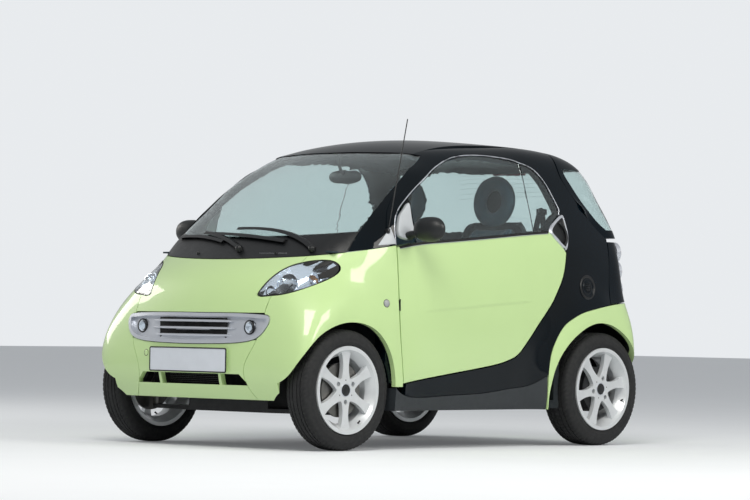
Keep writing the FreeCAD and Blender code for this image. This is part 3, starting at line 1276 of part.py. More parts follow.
engine = box(-ENGINE_WIDTH / 2, ENGINE_WIDTH / 2, ENGINE_Y - ENGINE_LENGTH / 2,
             ENGINE_Y + ENGINE_LENGTH / 2,
             ENGINE_BOTTOM_Z, ENGINE_BOTTOM_Z + ENGINE_HEIGHT)
save("engine_block", engine)
silencer = bar_x(-SILENCER_LENGTH / 2, SILENCER_LENGTH / 2, SILENCER_Y, SILENCER_Z, SILENCER_RADIUS)
pipe_z = BUMPER_BOTTOM_Z - TAILPIPE_RADIUS - PANEL_GAP
pipe = Part.makeCylinder(TAILPIPE_RADIUS, HALF_LENGTH - SILENCER_Y,
                         V(SILENCER_LENGTH / 4, SILENCER_Y, pipe_z), V(0, 1, 0))
elbow = Part.makeCylinder(TAILPIPE_RADIUS, SILENCER_Z - pipe_z,
                          V(SILENCER_LENGTH / 4, SILENCER_Y, pipe_z), V(0, 0, 1))
hangers = [box(side * HANGER_X - HANGER_WALL, side * HANGER_X + HANGER_WALL, SILENCER_Y - HANGER_WALL,
                SILENCER_Y, SILENCER_Z, BOOT_FLOOR_Z - PAN_WALL) for side in (-1, 1)]
pipe = pipe.fuse([elbow] + hangers)
save("exhaust", largest(silencer.fuse(pipe)))

# Floor pan with toe board, heel board and boot floor, as one bent plate

pan_run = [
    (TOE_Y, DASH_TOP_Z - PAN_WALL), (TOE_Y, PAN_BOTTOM_Z), (HEEL_Y, PAN_BOTTOM_Z), (HEEL_Y,
                                                                                    BOOT_FLOOR_Z - PAN_WALL),
    (BOOT_END_Y, BOOT_FLOOR_Z - PAN_WALL), (BOOT_END_Y, BOOT_FLOOR_Z), (HEEL_Y - PAN_WALL, BOOT_FLOOR_Z),
    (HEEL_Y - PAN_WALL, PAN_BOTTOM_Z + PAN_WALL), (TOE_Y + PAN_WALL, PAN_BOTTOM_Z + PAN_WALL),
    (TOE_Y + PAN_WALL, DASH_TOP_Z - PAN_WALL),
]
pan = Part.Face(Part.makePolygon([V(-FAR, y, z) for y, z in pan_run + pan_run[:1]])).extrude(V(2 * FAR, 0,
                                                                                               0))
plan = []
for y in spread(TOE_Y, HEEL_Y, STATION_STEP):
    plan.append((skin_x(y, PAN_BOTTOM_Z, SILL_WALL) - SEAT_GAP, y))
boot_side = [(REAR_WELL_X, HEEL_Y), (REAR_WELL_X, BOOT_END_Y)]
half_plan = [plan, [plan[-1], boot_side[0]], boot_side]
other_half = [[(-x, y) for x, y in run] for run in half_plan]
plan_edges = half_plan + other_half + [[boot_side[1], (-boot_side[1][0], boot_side[1][1])],
                                       [(-plan[0][0], plan[0][1]), plan[0]]]
pan = pan.common(prism(plan_edges, place_z, 0, HEIGHT))
cabin_side = box(CABIN_HALF, FAR, -FAR, 0, PAN_BOTTOM_Z + PAN_WALL, FAR)
for part_side in (lambda s: s, mirrored):
    pan = pan.cut(part_side(cabin_side)).cut(part_side(FRONT_WELL)).cut(part_side(REAR_WELL))
outrigger = box(CABIN_HALF - PAN_WALL, OUTRIGGER_X, OUTRIGGER_Y, TOE_Y + PAN_WALL / 2,
                PAN_BOTTOM_Z + PAN_WALL, OUTRIGGER_TOP_Z)
outrigger = outrigger.cut(FRONT_WELL).cut(cell)
pan = pan.fuse([outrigger, mirrored(outrigger)])
pan = largest(pan.cut(sill).cut(mirrored(sill)))
save("floor_pan", pan)

# Dashboard and steering wheel

dash_y = TOE_Y + PAN_WALL + SEAT_GAP
dash_run = [
    (dash_y, DASH_TOP_Z), (dash_y, DASH_TOP_Z - DASH_DEPTH), (dash_y + 0.45 * DASH_DEPTH,
                                                              DASH_TOP_Z - DASH_DEPTH),
    (dash_y + 0.8 * DASH_DEPTH, DASH_TOP_Z - 0.5 * DASH_DEPTH), (dash_y + 0.72 * DASH_DEPTH,
                                                                 DASH_TOP_Z - 0.12 * DASH_DEPTH),
    (dash_y + 0.4 * DASH_DEPTH, DASH_TOP_Z),
]
dash = Part.Face(Part.makePolygon([V(-CABIN_HALF, y, z) for y, z in dash_run + dash_run[:1]]))
dash = dash.extrude(V(2 * CABIN_HALF, 0, 0))
deck_edge = [V(x * HALF_WIDTH, y * HALF_LENGTH, DASH_TOP_Z) for x, y in DECK_SHARES]
deck_edge += [V(-p.x, p.y, p.z) for p in reversed(deck_edge[1:])]
deck = Part.Face(Part.makePolygon(deck_edge + deck_edge[:1])).extrude(V(0, 0, DECK_WALL))
dash = largest(dash.fuse(deck))
save("dashboard", dash)

tilt = math.radians(STEERING_TILT)
wheel_axis = V(0, math.cos(tilt), math.sin(tilt))
wheel_at = V(SEAT_X, STEERING_Y, STEERING_Z)
section = [V(STEERING_RADIUS + STEERING_RIM * math.cos(math.radians(60 * i)), 0,
             STEERING_RIM * math.sin(math.radians(60 * i)))
           for i in range(6)]
ring_solid = Part.Face(Part.makePolygon(section + section[:1])).revolve(V(0, 0, 0), V(0, 0, 1), 360)
ring_solid.rotate(V(0, 0, 0), V(1, 0, 0), STEERING_TILT - 90)
ring_solid.translate(wheel_at)
hub_solid = Part.makeCylinder(0.3 * STEERING_RADIUS, 4 * STEERING_RIM,
                              wheel_at - wheel_axis * (3 * STEERING_RIM), wheel_axis)
spoke_solids = []
for turn in (0, 120, 240):
    arm = Part.makeBox(2 * STEERING_RIM, STEERING_RADIUS, STEERING_RIM,
                       V(-STEERING_RIM, 0, -STEERING_RIM / 2))
    arm.rotate(V(0, 0, 0), V(0, 0, 1), turn + 180)
    arm.rotate(V(0, 0, 0), V(1, 0, 0), STEERING_TILT - 90)
    arm.translate(wheel_at)
    spoke_solids.append(arm)
steering = largest(hub_solid.fuse([ring_solid] + spoke_solids))
save("steering_wheel", steering)
column_start = wheel_at - wheel_axis * (3 * STEERING_RIM + SEAT_GAP)
column = Part.makeCylinder(COLUMN_RADIUS, DASH_DEPTH, column_start, wheel_axis * -1)
column = largest(column.cut(dash))
save("steering_column", column)

# Seats with shell backs and ring head restraints

seat_run = [
    (-0.10, 0.275), (-0.085, 0.205), (0.22, 0.165), (0.345, 0.172), (0.375, 0.22), (0.43, 0.42), (0.485,
                                                                                                  0.62),
    (0.494, 0.71), (0.472, 0.745), (0.438, 0.725), (0.398, 0.58), (0.348, 0.43), (0.30, 0.34), (0.25,
                                                                                                0.295),
    (0.05, 0.315),
]
SEAT_BACK = [(a * HALF_LENGTH, b * HEIGHT) for a, b in seat_run]
seat_curve = Part.BSplineCurve()
seat_curve.interpolate([V(SEAT_X - SEAT_WIDTH / 2, y, z) for y, z in SEAT_BACK], PeriodicFlag=True)
seat = Part.Face(Part.Wire(seat_curve.toShape())).extrude(V(SEAT_WIDTH, 0, 0))
base = box(SEAT_X - SEAT_WIDTH / 2 + SEAT_BASE_INSET, SEAT_X + SEAT_WIDTH / 2 - SEAT_BASE_INSET,
           SEAT_BASE_Y,
           SEAT_BASE_Y + SEAT_BASE_LENGTH, PAN_BOTTOM_Z + PAN_WALL, SEAT_BASE_Z)
rest_at = V(SEAT_X, HEADREST_Y - HEADREST_WALL / 2, HEADREST_Z)
rest = Part.makeCylinder(HEADREST_RADIUS, HEADREST_WALL, rest_at, V(0, 1, 0))
rest = rest.cut(Part.makeCylinder(HEADREST_HOLE, HEADREST_WALL, rest_at, V(0, 1, 0)))
seat = largest(seat.fuse([base, rest]))
save("seat_left", seat)
save("seat_right", mirrored(seat))

# Aerial and wipers

aerial_z = skin_z(AERIAL_X, AERIAL_Y)
step = GLASS_WALL
slope_x = skin_field(AERIAL_X + step, AERIAL_Y, aerial_z) - skin_field(AERIAL_X - step, AERIAL_Y, aerial_z)
slope_y = skin_field(AERIAL_X, AERIAL_Y + step, aerial_z) - skin_field(AERIAL_X, AERIAL_Y - step, aerial_z)
slope_z = skin_field(AERIAL_X, AERIAL_Y, aerial_z + step) - skin_field(AERIAL_X, AERIAL_Y, aerial_z - step)
outwards = V(slope_x, slope_y, slope_z)
outwards.normalize()
foot = V(AERIAL_X, AERIAL_Y, aerial_z) + outwards * SEAT_GAP
neck = foot + outwards * AERIAL_BASE
tip = V(AERIAL_X, AERIAL_TIP_Y, AERIAL_TIP_Z)
whip = Part.makeCylinder(AERIAL_RADIUS, (tip - neck).Length + AERIAL_FOOT / 2,
                         neck - outwards * (AERIAL_FOOT / 2), tip - neck)
aerial = Part.makeCone(AERIAL_FOOT, AERIAL_FOOT / 2, AERIAL_BASE, foot, outwards).fuse(whip)
aerial = largest(aerial)
save("aerial", aerial)

wiper_slab = slab(SCREEN, -WIPER_HEIGHT, WIPER_HEIGHT - SEAT_GAP)
wiper_parts = []
for run in WIPER_RUNS_SHARES:
    points = xz(run)
    left = shifted(points, WIPER_WIDTH / 2)
    right = list(reversed(shifted(points, -WIPER_WIDTH / 2)))
    ends = [[left[-1], right[0]], [right[-1], left[0]]]
    wiper_parts.append(wiper_slab.common(prism([left, ends[0], right, ends[1]], place_y, -FAR, 0)))
wipers = wiper_parts[0].fuse(wiper_parts[1:])
save("wipers", kept(wipers))
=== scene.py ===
"""Looks of a two-seat microcar: paint, glass, lamps, tyres, padded cabin and small fittings."""

import json
import math

import bmesh
import bpy
from bpy.props import FloatProperty, FloatVectorProperty, IntProperty, PointerProperty
from bpy.types import Operator, Panel, PropertyGroup
from mathutils import Matrix, Vector
from mathutils.bvhtree import BVHTree

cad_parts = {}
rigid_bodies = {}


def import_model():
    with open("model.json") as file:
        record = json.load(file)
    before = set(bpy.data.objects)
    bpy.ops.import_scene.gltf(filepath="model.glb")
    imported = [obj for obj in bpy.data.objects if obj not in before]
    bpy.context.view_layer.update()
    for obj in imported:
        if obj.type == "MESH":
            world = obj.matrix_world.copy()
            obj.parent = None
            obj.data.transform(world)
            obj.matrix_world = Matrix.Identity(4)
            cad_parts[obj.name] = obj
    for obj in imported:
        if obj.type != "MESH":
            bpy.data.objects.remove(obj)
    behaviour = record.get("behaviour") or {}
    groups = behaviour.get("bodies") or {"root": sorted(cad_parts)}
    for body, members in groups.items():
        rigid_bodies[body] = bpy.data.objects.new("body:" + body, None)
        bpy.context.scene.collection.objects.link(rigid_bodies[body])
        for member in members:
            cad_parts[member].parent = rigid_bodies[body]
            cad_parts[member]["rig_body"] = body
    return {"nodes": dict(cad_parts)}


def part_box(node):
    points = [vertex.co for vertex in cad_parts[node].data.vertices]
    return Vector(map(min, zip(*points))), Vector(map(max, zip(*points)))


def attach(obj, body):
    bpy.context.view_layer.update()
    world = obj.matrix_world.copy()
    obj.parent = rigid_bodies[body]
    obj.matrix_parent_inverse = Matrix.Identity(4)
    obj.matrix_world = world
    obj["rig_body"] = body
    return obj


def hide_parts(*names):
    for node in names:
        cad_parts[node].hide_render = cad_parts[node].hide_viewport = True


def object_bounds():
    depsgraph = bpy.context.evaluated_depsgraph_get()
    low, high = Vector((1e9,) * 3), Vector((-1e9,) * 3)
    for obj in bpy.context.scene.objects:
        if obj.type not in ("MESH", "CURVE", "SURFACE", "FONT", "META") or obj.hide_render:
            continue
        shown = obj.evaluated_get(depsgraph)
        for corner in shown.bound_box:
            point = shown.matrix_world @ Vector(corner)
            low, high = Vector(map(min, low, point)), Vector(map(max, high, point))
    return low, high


bl_info = {
    "name": "Microcar Looks",
    "version": (1, 0, 0),
    "blender": (4, 5, 0),
    "location": "3D View > Sidebar > Microcar",
    "description": "Dresses a two-seat microcar with its paint, lamps, tyres and cabin",
    "category": "Add Mesh",
}

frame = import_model()
NODES = frame["nodes"]
CAD_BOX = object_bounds()
SIDES = (("left", 1.0), ("right", -1.0))
UP = Vector((0.0, 0.0, 1.0))
AHEAD = Vector((0.0, -1.0, 0.0))
REARWARD = Vector((0.0, 1.0, 0.0))
ACROSS = Vector((1.0, 0.0, 0.0))

SRGB_TOE = 0.04045
SRGB_TOE_SLOPE = 12.92
SRGB_SHIFT = 0.055
SRGB_POWER = 2.4


# Colour, nodes and materials

def linear(code):
    """An sRGB hex code as linear red, green, blue."""
    out = []
    for place in (0, 2, 4):
        share = int(code[place:place + 2], 16) / 255
        curve = ((share + SRGB_SHIFT) / (1.0 + SRGB_SHIFT)) ** SRGB_POWER
        out.append(share / SRGB_TOE_SLOPE if share <= SRGB_TOE else curve)
    return tuple(out)


def rgba(colour):
    return tuple(colour)[:3] + (1.0,)


def add_node(tree, kind, settings=None, links=None):
    """Adds one node, sets its properties and sockets, and links named sockets to it."""
    node = tree.nodes.new(kind)
    for key, value in (settings or {}).items():
        if isinstance(key, str) and hasattr(node, key):
            setattr(node, key, value)
        else:
            node.inputs[key].default_value = value
    for key, source in (links or {}).items():
        tree.links.new(source, node.inputs[key])
    return node


def finish(name, colour, roughness, **sockets):
    """A material with a Principled shader, and its node tree for more nodes."""
    material = bpy.data.materials.new(name)
    material.use_nodes = True
    tree = material.node_tree
    shader = tree.nodes["Principled BSDF"]
    shader.inputs["Base Color"].default_value = rgba(colour)
    shader.inputs["Roughness"].default_value = roughness
    for key, value in sockets.items():
        shader.inputs[key.replace("_", " ").title().replace("Ior", "IOR")].default_value = value
    material.diffuse_color = rgba(colour)
    return material, tree, shader


def place(tree):
    """Object coordinates, in metres in the car's own frame."""
    return add_node(tree, "ShaderNodeTexCoord").outputs["Object"]


def mottle(tree, size, low, high, detail=3.0):
    """Noise of a feature size in metres, spread between two values."""
    noise = add_node(tree, "ShaderNodeTexNoise", {"Scale": 1.0 / size, "Detail": detail},
                     {"Vector": place(tree)})
    span = {"From Min": 0.3, "From Max": 0.7, "To Min": low, "To Max": high}
    spread = add_node(tree, "ShaderNodeMapRange", span, {"Value": noise.outputs["Fac"]})
    return spread.outputs["Result"]


def bump(tree, shader, height, strength, distance):
    node = add_node(tree, "ShaderNodeBump", {"Strength": strength, "Distance": distance}, {"Height": height})
    tree.links.new(node.outputs["Normal"], shader.inputs["Normal"])
    return node


def tinted(tree, shader, share, first, second, blend="MIX"):
    """Base colour between two tones, by a share that nodes give."""
    tone = add_node(tree, "ShaderNodeMix", {"data_type": "RGBA", "blend_type": blend, 6: rgba(first),
                                            7: rgba(second)}, {0: share})
    tree.links.new(tone.outputs[2], shader.inputs["Base Color"])


PATCH_SIZE = 0.09
PATCH_DEPTH = 0.22
WORN_TONE = (0.72, 0.72, 0.72)
GLOSS_PATCH = 0.03
GLOSS_WANDER = 0.12


def grained(name, code, roughness, size, depth, **sockets):
    """Moulded, cast or peeled surfaces: one colour that wanders a little, with a grain of a real size."""
    material, tree, shader = finish(name, linear(code), roughness, **sockets)
    tinted(tree, shader, mottle(tree, PATCH_SIZE, 0.0, PATCH_DEPTH), linear(code), WORN_TONE, "MULTIPLY")
    wander = mottle(tree, GLOSS_PATCH, roughness * (1.0 - GLOSS_WANDER), roughness * (1.0 + GLOSS_WANDER))
    tree.links.new(wander, shader.inputs["Roughness"])
    bump(tree, shader, mottle(tree, size, 0.0, 1.0, 2.0), 0.5, depth)
    return material


DOOR_CREASE = ((-0.427, 0.656), (0.408, 0.721))
CREASE_HALF_WIDTH = 0.009
CREASE_FADE = 0.08
PEEL_SIZE = 0.004
PEEL_SHARE = 0.004


def crease(tree, ends, width):
    """1 above a line between two points seen from the side, 0 below it, fading out at both ends."""
    (y0, z0), (y1, z1) = ends
    length = math.hypot(y1 - y0, z1 - z0)
    run, rise = (y1 - y0) / length, (z1 - z0) / length
    parts = add_node(tree, "ShaderNodeSeparateXYZ", None, {"Vector": place(tree)})

    def projected(by_y, by_z):
        """The distance along a direction of the side view, from the line's first point."""
        start = -(y0 * by_y + z0 * by_z)
        first = add_node(tree, "ShaderNodeMath", {"operation": "MULTIPLY_ADD", 1: by_y, 2: start},
                         {0: parts.outputs["Y"]})
        return add_node(tree, "ShaderNodeMath", {"operation": "MULTIPLY_ADD", 1: by_z},
                        {0: parts.outputs["Z"], 2: first.outputs[0]}).outputs[0]

    def ramp(value, low, high, **how):
        """A value spread from 0 at low to 1 at high."""
        return add_node(tree, "ShaderNodeMapRange", {**how, "From Min": low, "From Max": high},
                        {"Value": value}).outputs[0]

    along = projected(run, rise)
    step = ramp(projected(-rise, run), -width, width, interpolation_type="SMOOTHSTEP")
    ends_fade = add_node(tree, "ShaderNodeMath", {"operation": "MULTIPLY"},
                         {0: ramp(along, 0.0, CREASE_FADE), 1: ramp(along, length, length - CREASE_FADE)})
    return add_node(tree, "ShaderNodeMath", {"operation": "MULTIPLY"},
                    {0: step, 1: ends_fade.outputs[0]}).outputs[0]


class PaintColours(PropertyGroup):
    """Colours of the outside."""
    panels: FloatVectorProperty(name="Panels", description="Pistachio green of the plastic body panels",
                                subtype="COLOR", default=linear("C6E39F"), min=0.0, max=1.0)
    cell: FloatVectorProperty(name="Cell", description="Blue-black of the steel cell and the roof",
                              subtype="COLOR", default=linear("03090D"), min=0.0, max=1.0)
    wheels: FloatVectorProperty(name="Wheels", description="White silver of the alloy rims",
                                subtype="COLOR", default=linear("DFE2E4"), min=0.0, max=1.0)
    grille: FloatVectorProperty(name="Grille", description="Silver of the grille and the handle rings",
                                subtype="COLOR", default=linear("D2D6DE"), min=0.0, max=1.0)
    crease_rise: FloatProperty(name="Crease", description="Height of the pressed line along the door",
                               default=0.003, min=0.0, unit="LENGTH")


class TyreSizes(PropertyGroup):
    """Sizes of the tread and the sidewall."""
    groove: FloatProperty(name="Groove", description="Depth of the tread grooves", default=0.006, min=0.0,
                          unit="LENGTH")
    blocks: IntProperty(name="Blocks", description="Tread blocks around the tyre", default=74, min=24)
    rib: FloatProperty(name="Rib", description="Height of the ribs on the sidewall", default=0.0012, min=0.0,
                       unit="LENGTH")


class CabinSizes(PropertyGroup):
    """Sizes and colours of the padded cabin."""
    fill: FloatProperty(name="Fill", description="How tightly the seats are stuffed", default=0.75, min=0.0,
                        max=1.0, subtype="FACTOR")
    swell: FloatProperty(name="Swell", description="How far a seat cushion may puff out", default=0.016,
                         min=0.0,
                         unit="LENGTH")
    knit: FloatProperty(name="Knit", description="Pitch of the seat fabric's ribs", default=0.004, min=0.001,
                        unit="LENGTH")
    fabric: FloatVectorProperty(name="Fabric", description="Blue grey of the knitted seat fabric",
                                subtype="COLOR", default=linear("3A5263"), min=0.0, max=1.0)


class StudioSizes(PropertyGroup):
    """Camera and lights."""
    lens: FloatProperty(name="Lens", description="Focal length on a 36 mm wide film", default=164.4, min=20.0)
    fill_power: FloatProperty(name="Fill", description="Strength of the pale surroundings", default=0.42,
                              min=0.0)
    key_power: FloatProperty(name="Key", description="Power of the main soft box, in watts", default=330.0,
                             min=0.0, unit="POWER")
    floor: FloatVectorProperty(name="Floor", description="Pale grey of the floor and surroundings",
                               subtype="COLOR", default=linear("E6E9EC"), min=0.0, max=1.0)


M = {}


def make_paints(paint):
    """Paint of the panels, the cell, the wheels and the grille."""
    # Two-coat paint on moulded plastic panels: even colour under a clear coat, with a faint orange peel.
    material, tree, shader = finish("pistachio_clearcoat_paint", paint.panels, 0.42, coat_weight=1.0,
                                    coat_roughness=0.04, coat_ior=1.5)
    tinted(tree, shader, mottle(tree, 0.6, 0.0, 0.10), paint.panels, linear("E3F0D8"), "MULTIPLY")
    line = crease(tree, DOOR_CREASE, CREASE_HALF_WIDTH)
    peel = add_node(tree, "ShaderNodeMath", {"operation": "MULTIPLY_ADD", 1: PEEL_SHARE},
                    {0: mottle(tree, PEEL_SIZE, 0.0, 1.0), 2: line})
    bump(tree, shader, peel.outputs[0], 0.9, paint.crease_rise)
    M["panels"] = material

    # Blue-black two-coat paint on pressed steel: deep and glossy, with a thin clear coat that keeps it dark.
    material, tree, shader = finish("blue_black_clearcoat_paint", paint.cell, 0.5, coat_weight=0.8,
                                    coat_roughness=0.025, coat_ior=1.4, specular_ior_level=0.0)
    tinted(tree, shader, mottle(tree, 0.8, 0.0, 1.0), paint.cell, linear("051018"))
    bump(tree, shader, mottle(tree, 0.005, 0.0, 1.0), 0.04, 0.0006)
    M["cell"] = material

    # Metallic paint on cast alloy: fine flakes that sparkle a little under a clear coat.
    for key, name, colour, metal in (("wheels", "white_silver_wheel_paint", paint.wheels, 0.35),
                                     ("silver", "silver_flake_paint", paint.grille, 0.6)):
        material, tree, shader = finish(name, colour, 0.34, metallic=metal, coat_weight=0.6,
                                        coat_roughness=0.06)
        flake = add_node(tree, "ShaderNodeTexVoronoi", {"Scale": 1400.0}, {"Vector": place(tree)})
        tone = add_node(tree, "ShaderNodeMapRange", {"To Min": 0.28, "To Max": 0.42},
                        {"Value": flake.outputs["Distance"]})
        tree.links.new(tone.outputs["Result"], shader.inputs["Roughness"])
        tinted(tree, shader, mottle(tree, 0.05, 0.0, 0.12), colour, linear("C4C8CC"), "MULTIPLY")
        M[key] = material


def make_clear_and_mirrored():
    """Glass, lamp covers, reflectors and the tail lamps."""
    # Laminated and toughened glass, faintly green, smooth enough to mirror the room.
    material, tree, shader = finish("green_tinted_glass", linear("E0EDEC"), 0.0, transmission_weight=1.0,
                                    ior=1.5)
    tree.links.new(mottle(tree, 0.3, 0.0, 0.012), shader.inputs["Roughness"])
    M["glass"] = material
    # Hard-coated clear polycarbonate of the lamp covers.
    material, tree, shader = finish("clear_polycarbonate", linear("F2F7FA"), 0.0, transmission_weight=1.0,
                                    ior=1.58)
    tree.links.new(mottle(tree, 0.1, 0.0, 0.02), shader.inputs["Roughness"])
    M["lens"] = material
    # Aluminium steamed on plastic: a bright, slightly wavy mirror.
    material, tree, shader = finish("vapour_coated_reflector", linear("E8ECF2"), 0.1, metallic=1.0)
    bump(tree, shader, mottle(tree, 0.03, 0.0, 1.0), 0.25, 0.003)
    M["mirror"] = material
    # Silvered mirror glass, behind a smooth front.
    material, tree, shader = finish("silvered_mirror_glass", linear("D9E2E6"), 0.02, metallic=1.0)
    tree.links.new(mottle(tree, 0.05, 0.01, 0.03), shader.inputs["Roughness"])
    M["mirror_glass"] = material

    # Tail lamp acrylic: red at the top and the bottom, amber in the middle, with moulded rings inside.
    material, tree, shader = finish("tail_lamp_acrylic", linear("B0141C"), 0.06, coat_weight=1.0,
                                    transmission_weight=0.35)
    parts = add_node(tree, "ShaderNodeSeparateXYZ", None, {"Vector": place(tree)})
    ramp = add_node(tree, "ShaderNodeValToRGB", None, None)
    height = add_node(tree, "ShaderNodeMapRange", {"From Min": 0.74, "From Max": 1.03},
                      {"Value": parts.outputs["Z"]})
    tree.links.new(height.outputs["Result"], ramp.inputs["Fac"])
    ramp.color_ramp.interpolation = "CONSTANT"
    ramp.color_ramp.elements[0].color = rgba(linear("B0141C"))
    ramp.color_ramp.elements[1].position = 0.34
    ramp.color_ramp.elements[1].color = rgba(linear("E07A10"))
    ramp.color_ramp.elements.new(0.67).color = rgba(linear("B0141C"))
    tree.links.new(ramp.outputs["Color"], shader.inputs["Base Color"])
    rings = add_node(tree, "ShaderNodeTexWave", {"wave_type": "RINGS", "Scale": 60.0},
                     {"Vector": place(tree)})
    bump(tree, shader, rings.outputs["Fac"], 0.25, 0.002)
    M["tail"] = material


def make_rubber_and_fabric(cabin):
    """Tyres and the seats' cover."""
    # Vulcanised tyre rubber: deep grey, matt, dusty where it has rolled.
    material, tree, shader = finish("tyre_rubber", linear("1B1C1E"), 0.78)
    tinted(tree, shader, mottle(tree, 0.02, 0.0, 0.5, 6.0), linear("17181A"), linear("2E2E2E"))
    bump(tree, shader, mottle(tree, 0.0016, 0.0, 1.0), 0.35, 0.0006)
    M["rubber"] = material

    # Knitted seat fabric: ribs a few millimetres apart, fuzzy at the edges, with a paler thread through it.
    material, tree, shader = finish("knitted_seat_fabric", cabin.fabric, 0.92, sheen_weight=0.35,
                                    sheen_roughness=0.5)
    knit = math.pi * 2.0 / cabin.knit / 20.0
    across = add_node(tree, "ShaderNodeTexWave", {"Scale": knit, "bands_direction": "X", "Distortion": 1.5},
                      {"Vector": place(tree)})
    down = add_node(tree, "ShaderNodeTexWave", {"Scale": knit * 1.4, "bands_direction": "Z",
                                                "Distortion": 1.5},
                    {"Vector": place(tree)})
    cloth = add_node(tree, "ShaderNodeMath", {"operation": "MULTIPLY"},
                     {0: across.outputs["Fac"], 1: down.outputs["Fac"]})
    tinted(tree, shader, cloth.outputs[0], cabin.fabric, linear("5C7788"))
    bump(tree, shader, cloth.outputs[0], 0.6, 0.0008)
    M["fabric"] = material


def make_moulded_and_metal():
    """Plastics, felts, leather, metals, webbing and small acrylics."""
    # Moulded plastics, felts and leather, each with the grain of its own tool or weave.
    M["mirror_shell"] = grained("grained_black_polypropylene", "16191B", 0.42, 0.0022, 0.0004)
    M["sill"] = grained("dark_grey_polypropylene", "2C3135", 0.5, 0.003, 0.0005)
    M["trim"] = grained("black_trim_plastic", "121416", 0.36, 0.0015, 0.0003)
    M["seal"] = grained("extruded_rubber_seal", "0C0D0E", 0.55, 0.002, 0.0002)
    M["pale_trim"] = grained("light_grey_satin_plastic", "BFC4C8", 0.38, 0.002, 0.0003)
    M["dash"] = grained("soft_dash_skin", "23323C", 0.75, 0.0035, 0.0007)
    M["carpet"] = grained("needle_felt_carpet", "22282C", 0.95, 0.0018, 0.0014)
    M["headliner"] = grained("pressed_felt_headliner", "5B636A", 0.9, 0.0016, 0.0008)
    M["leather"] = grained("steering_wheel_leather", "17191B", 0.5, 0.0025, 0.0006)
    # Metals under the car: e-coated steel, cast iron, cast aluminium and stainless sheet.
    M["chassis"] = grained("e_coated_steel", "15171A", 0.5, 0.01, 0.0004, metallic=0.1)
    M["iron"] = grained("turned_cast_iron", "7B7A77", 0.4, 0.0015, 0.0003, metallic=0.9)
    M["alloy"] = grained("sand_cast_aluminium", "8C8F92", 0.5, 0.0025, 0.0006, metallic=0.85)
    M["stainless"] = grained("brushed_stainless_sheet", "A9A7A2", 0.3, 0.004, 0.0002, metallic=1.0)
    M["zinc"] = grained("zinc_plated_steel", "B7BABD", 0.3, 0.002, 0.0002, metallic=1.0)
    # Retroreflective sheet of a blank plate: white, with a fine cell pattern under the film.
    M["plate"] = grained("retroreflective_sheet", "DDE2EA", 0.35, 0.0012, 0.0001, coat_weight=0.6)
    # Seat belt webbing: tight herringbone weave, slightly shiny.
    M["webbing"] = grained("woven_belt_webbing", "1A1D20", 0.6, 0.0012, 0.0004)
    # Near-black matt backing for the grille and the intake: partly real dark parts, partly painted shade for
    # the dark inside of the nose.
    M["near_black_and_painted_shade"] = grained("matt_black_foam", "060708", 0.95, 0.006, 0.001)
    M["amber"] = grained("amber_acrylic", "D98A2C", 0.1, 0.01, 0.0002, transmission_weight=0.4)
    M["frost"] = grained("frosted_acrylic", "DADDE0", 0.22, 0.004, 0.0004, transmission_weight=0.45)
    M["red"] = grained("red_acrylic", "A3121A", 0.12, 0.006, 0.0003, transmission_weight=0.3)


# Shapes by their names, in metres

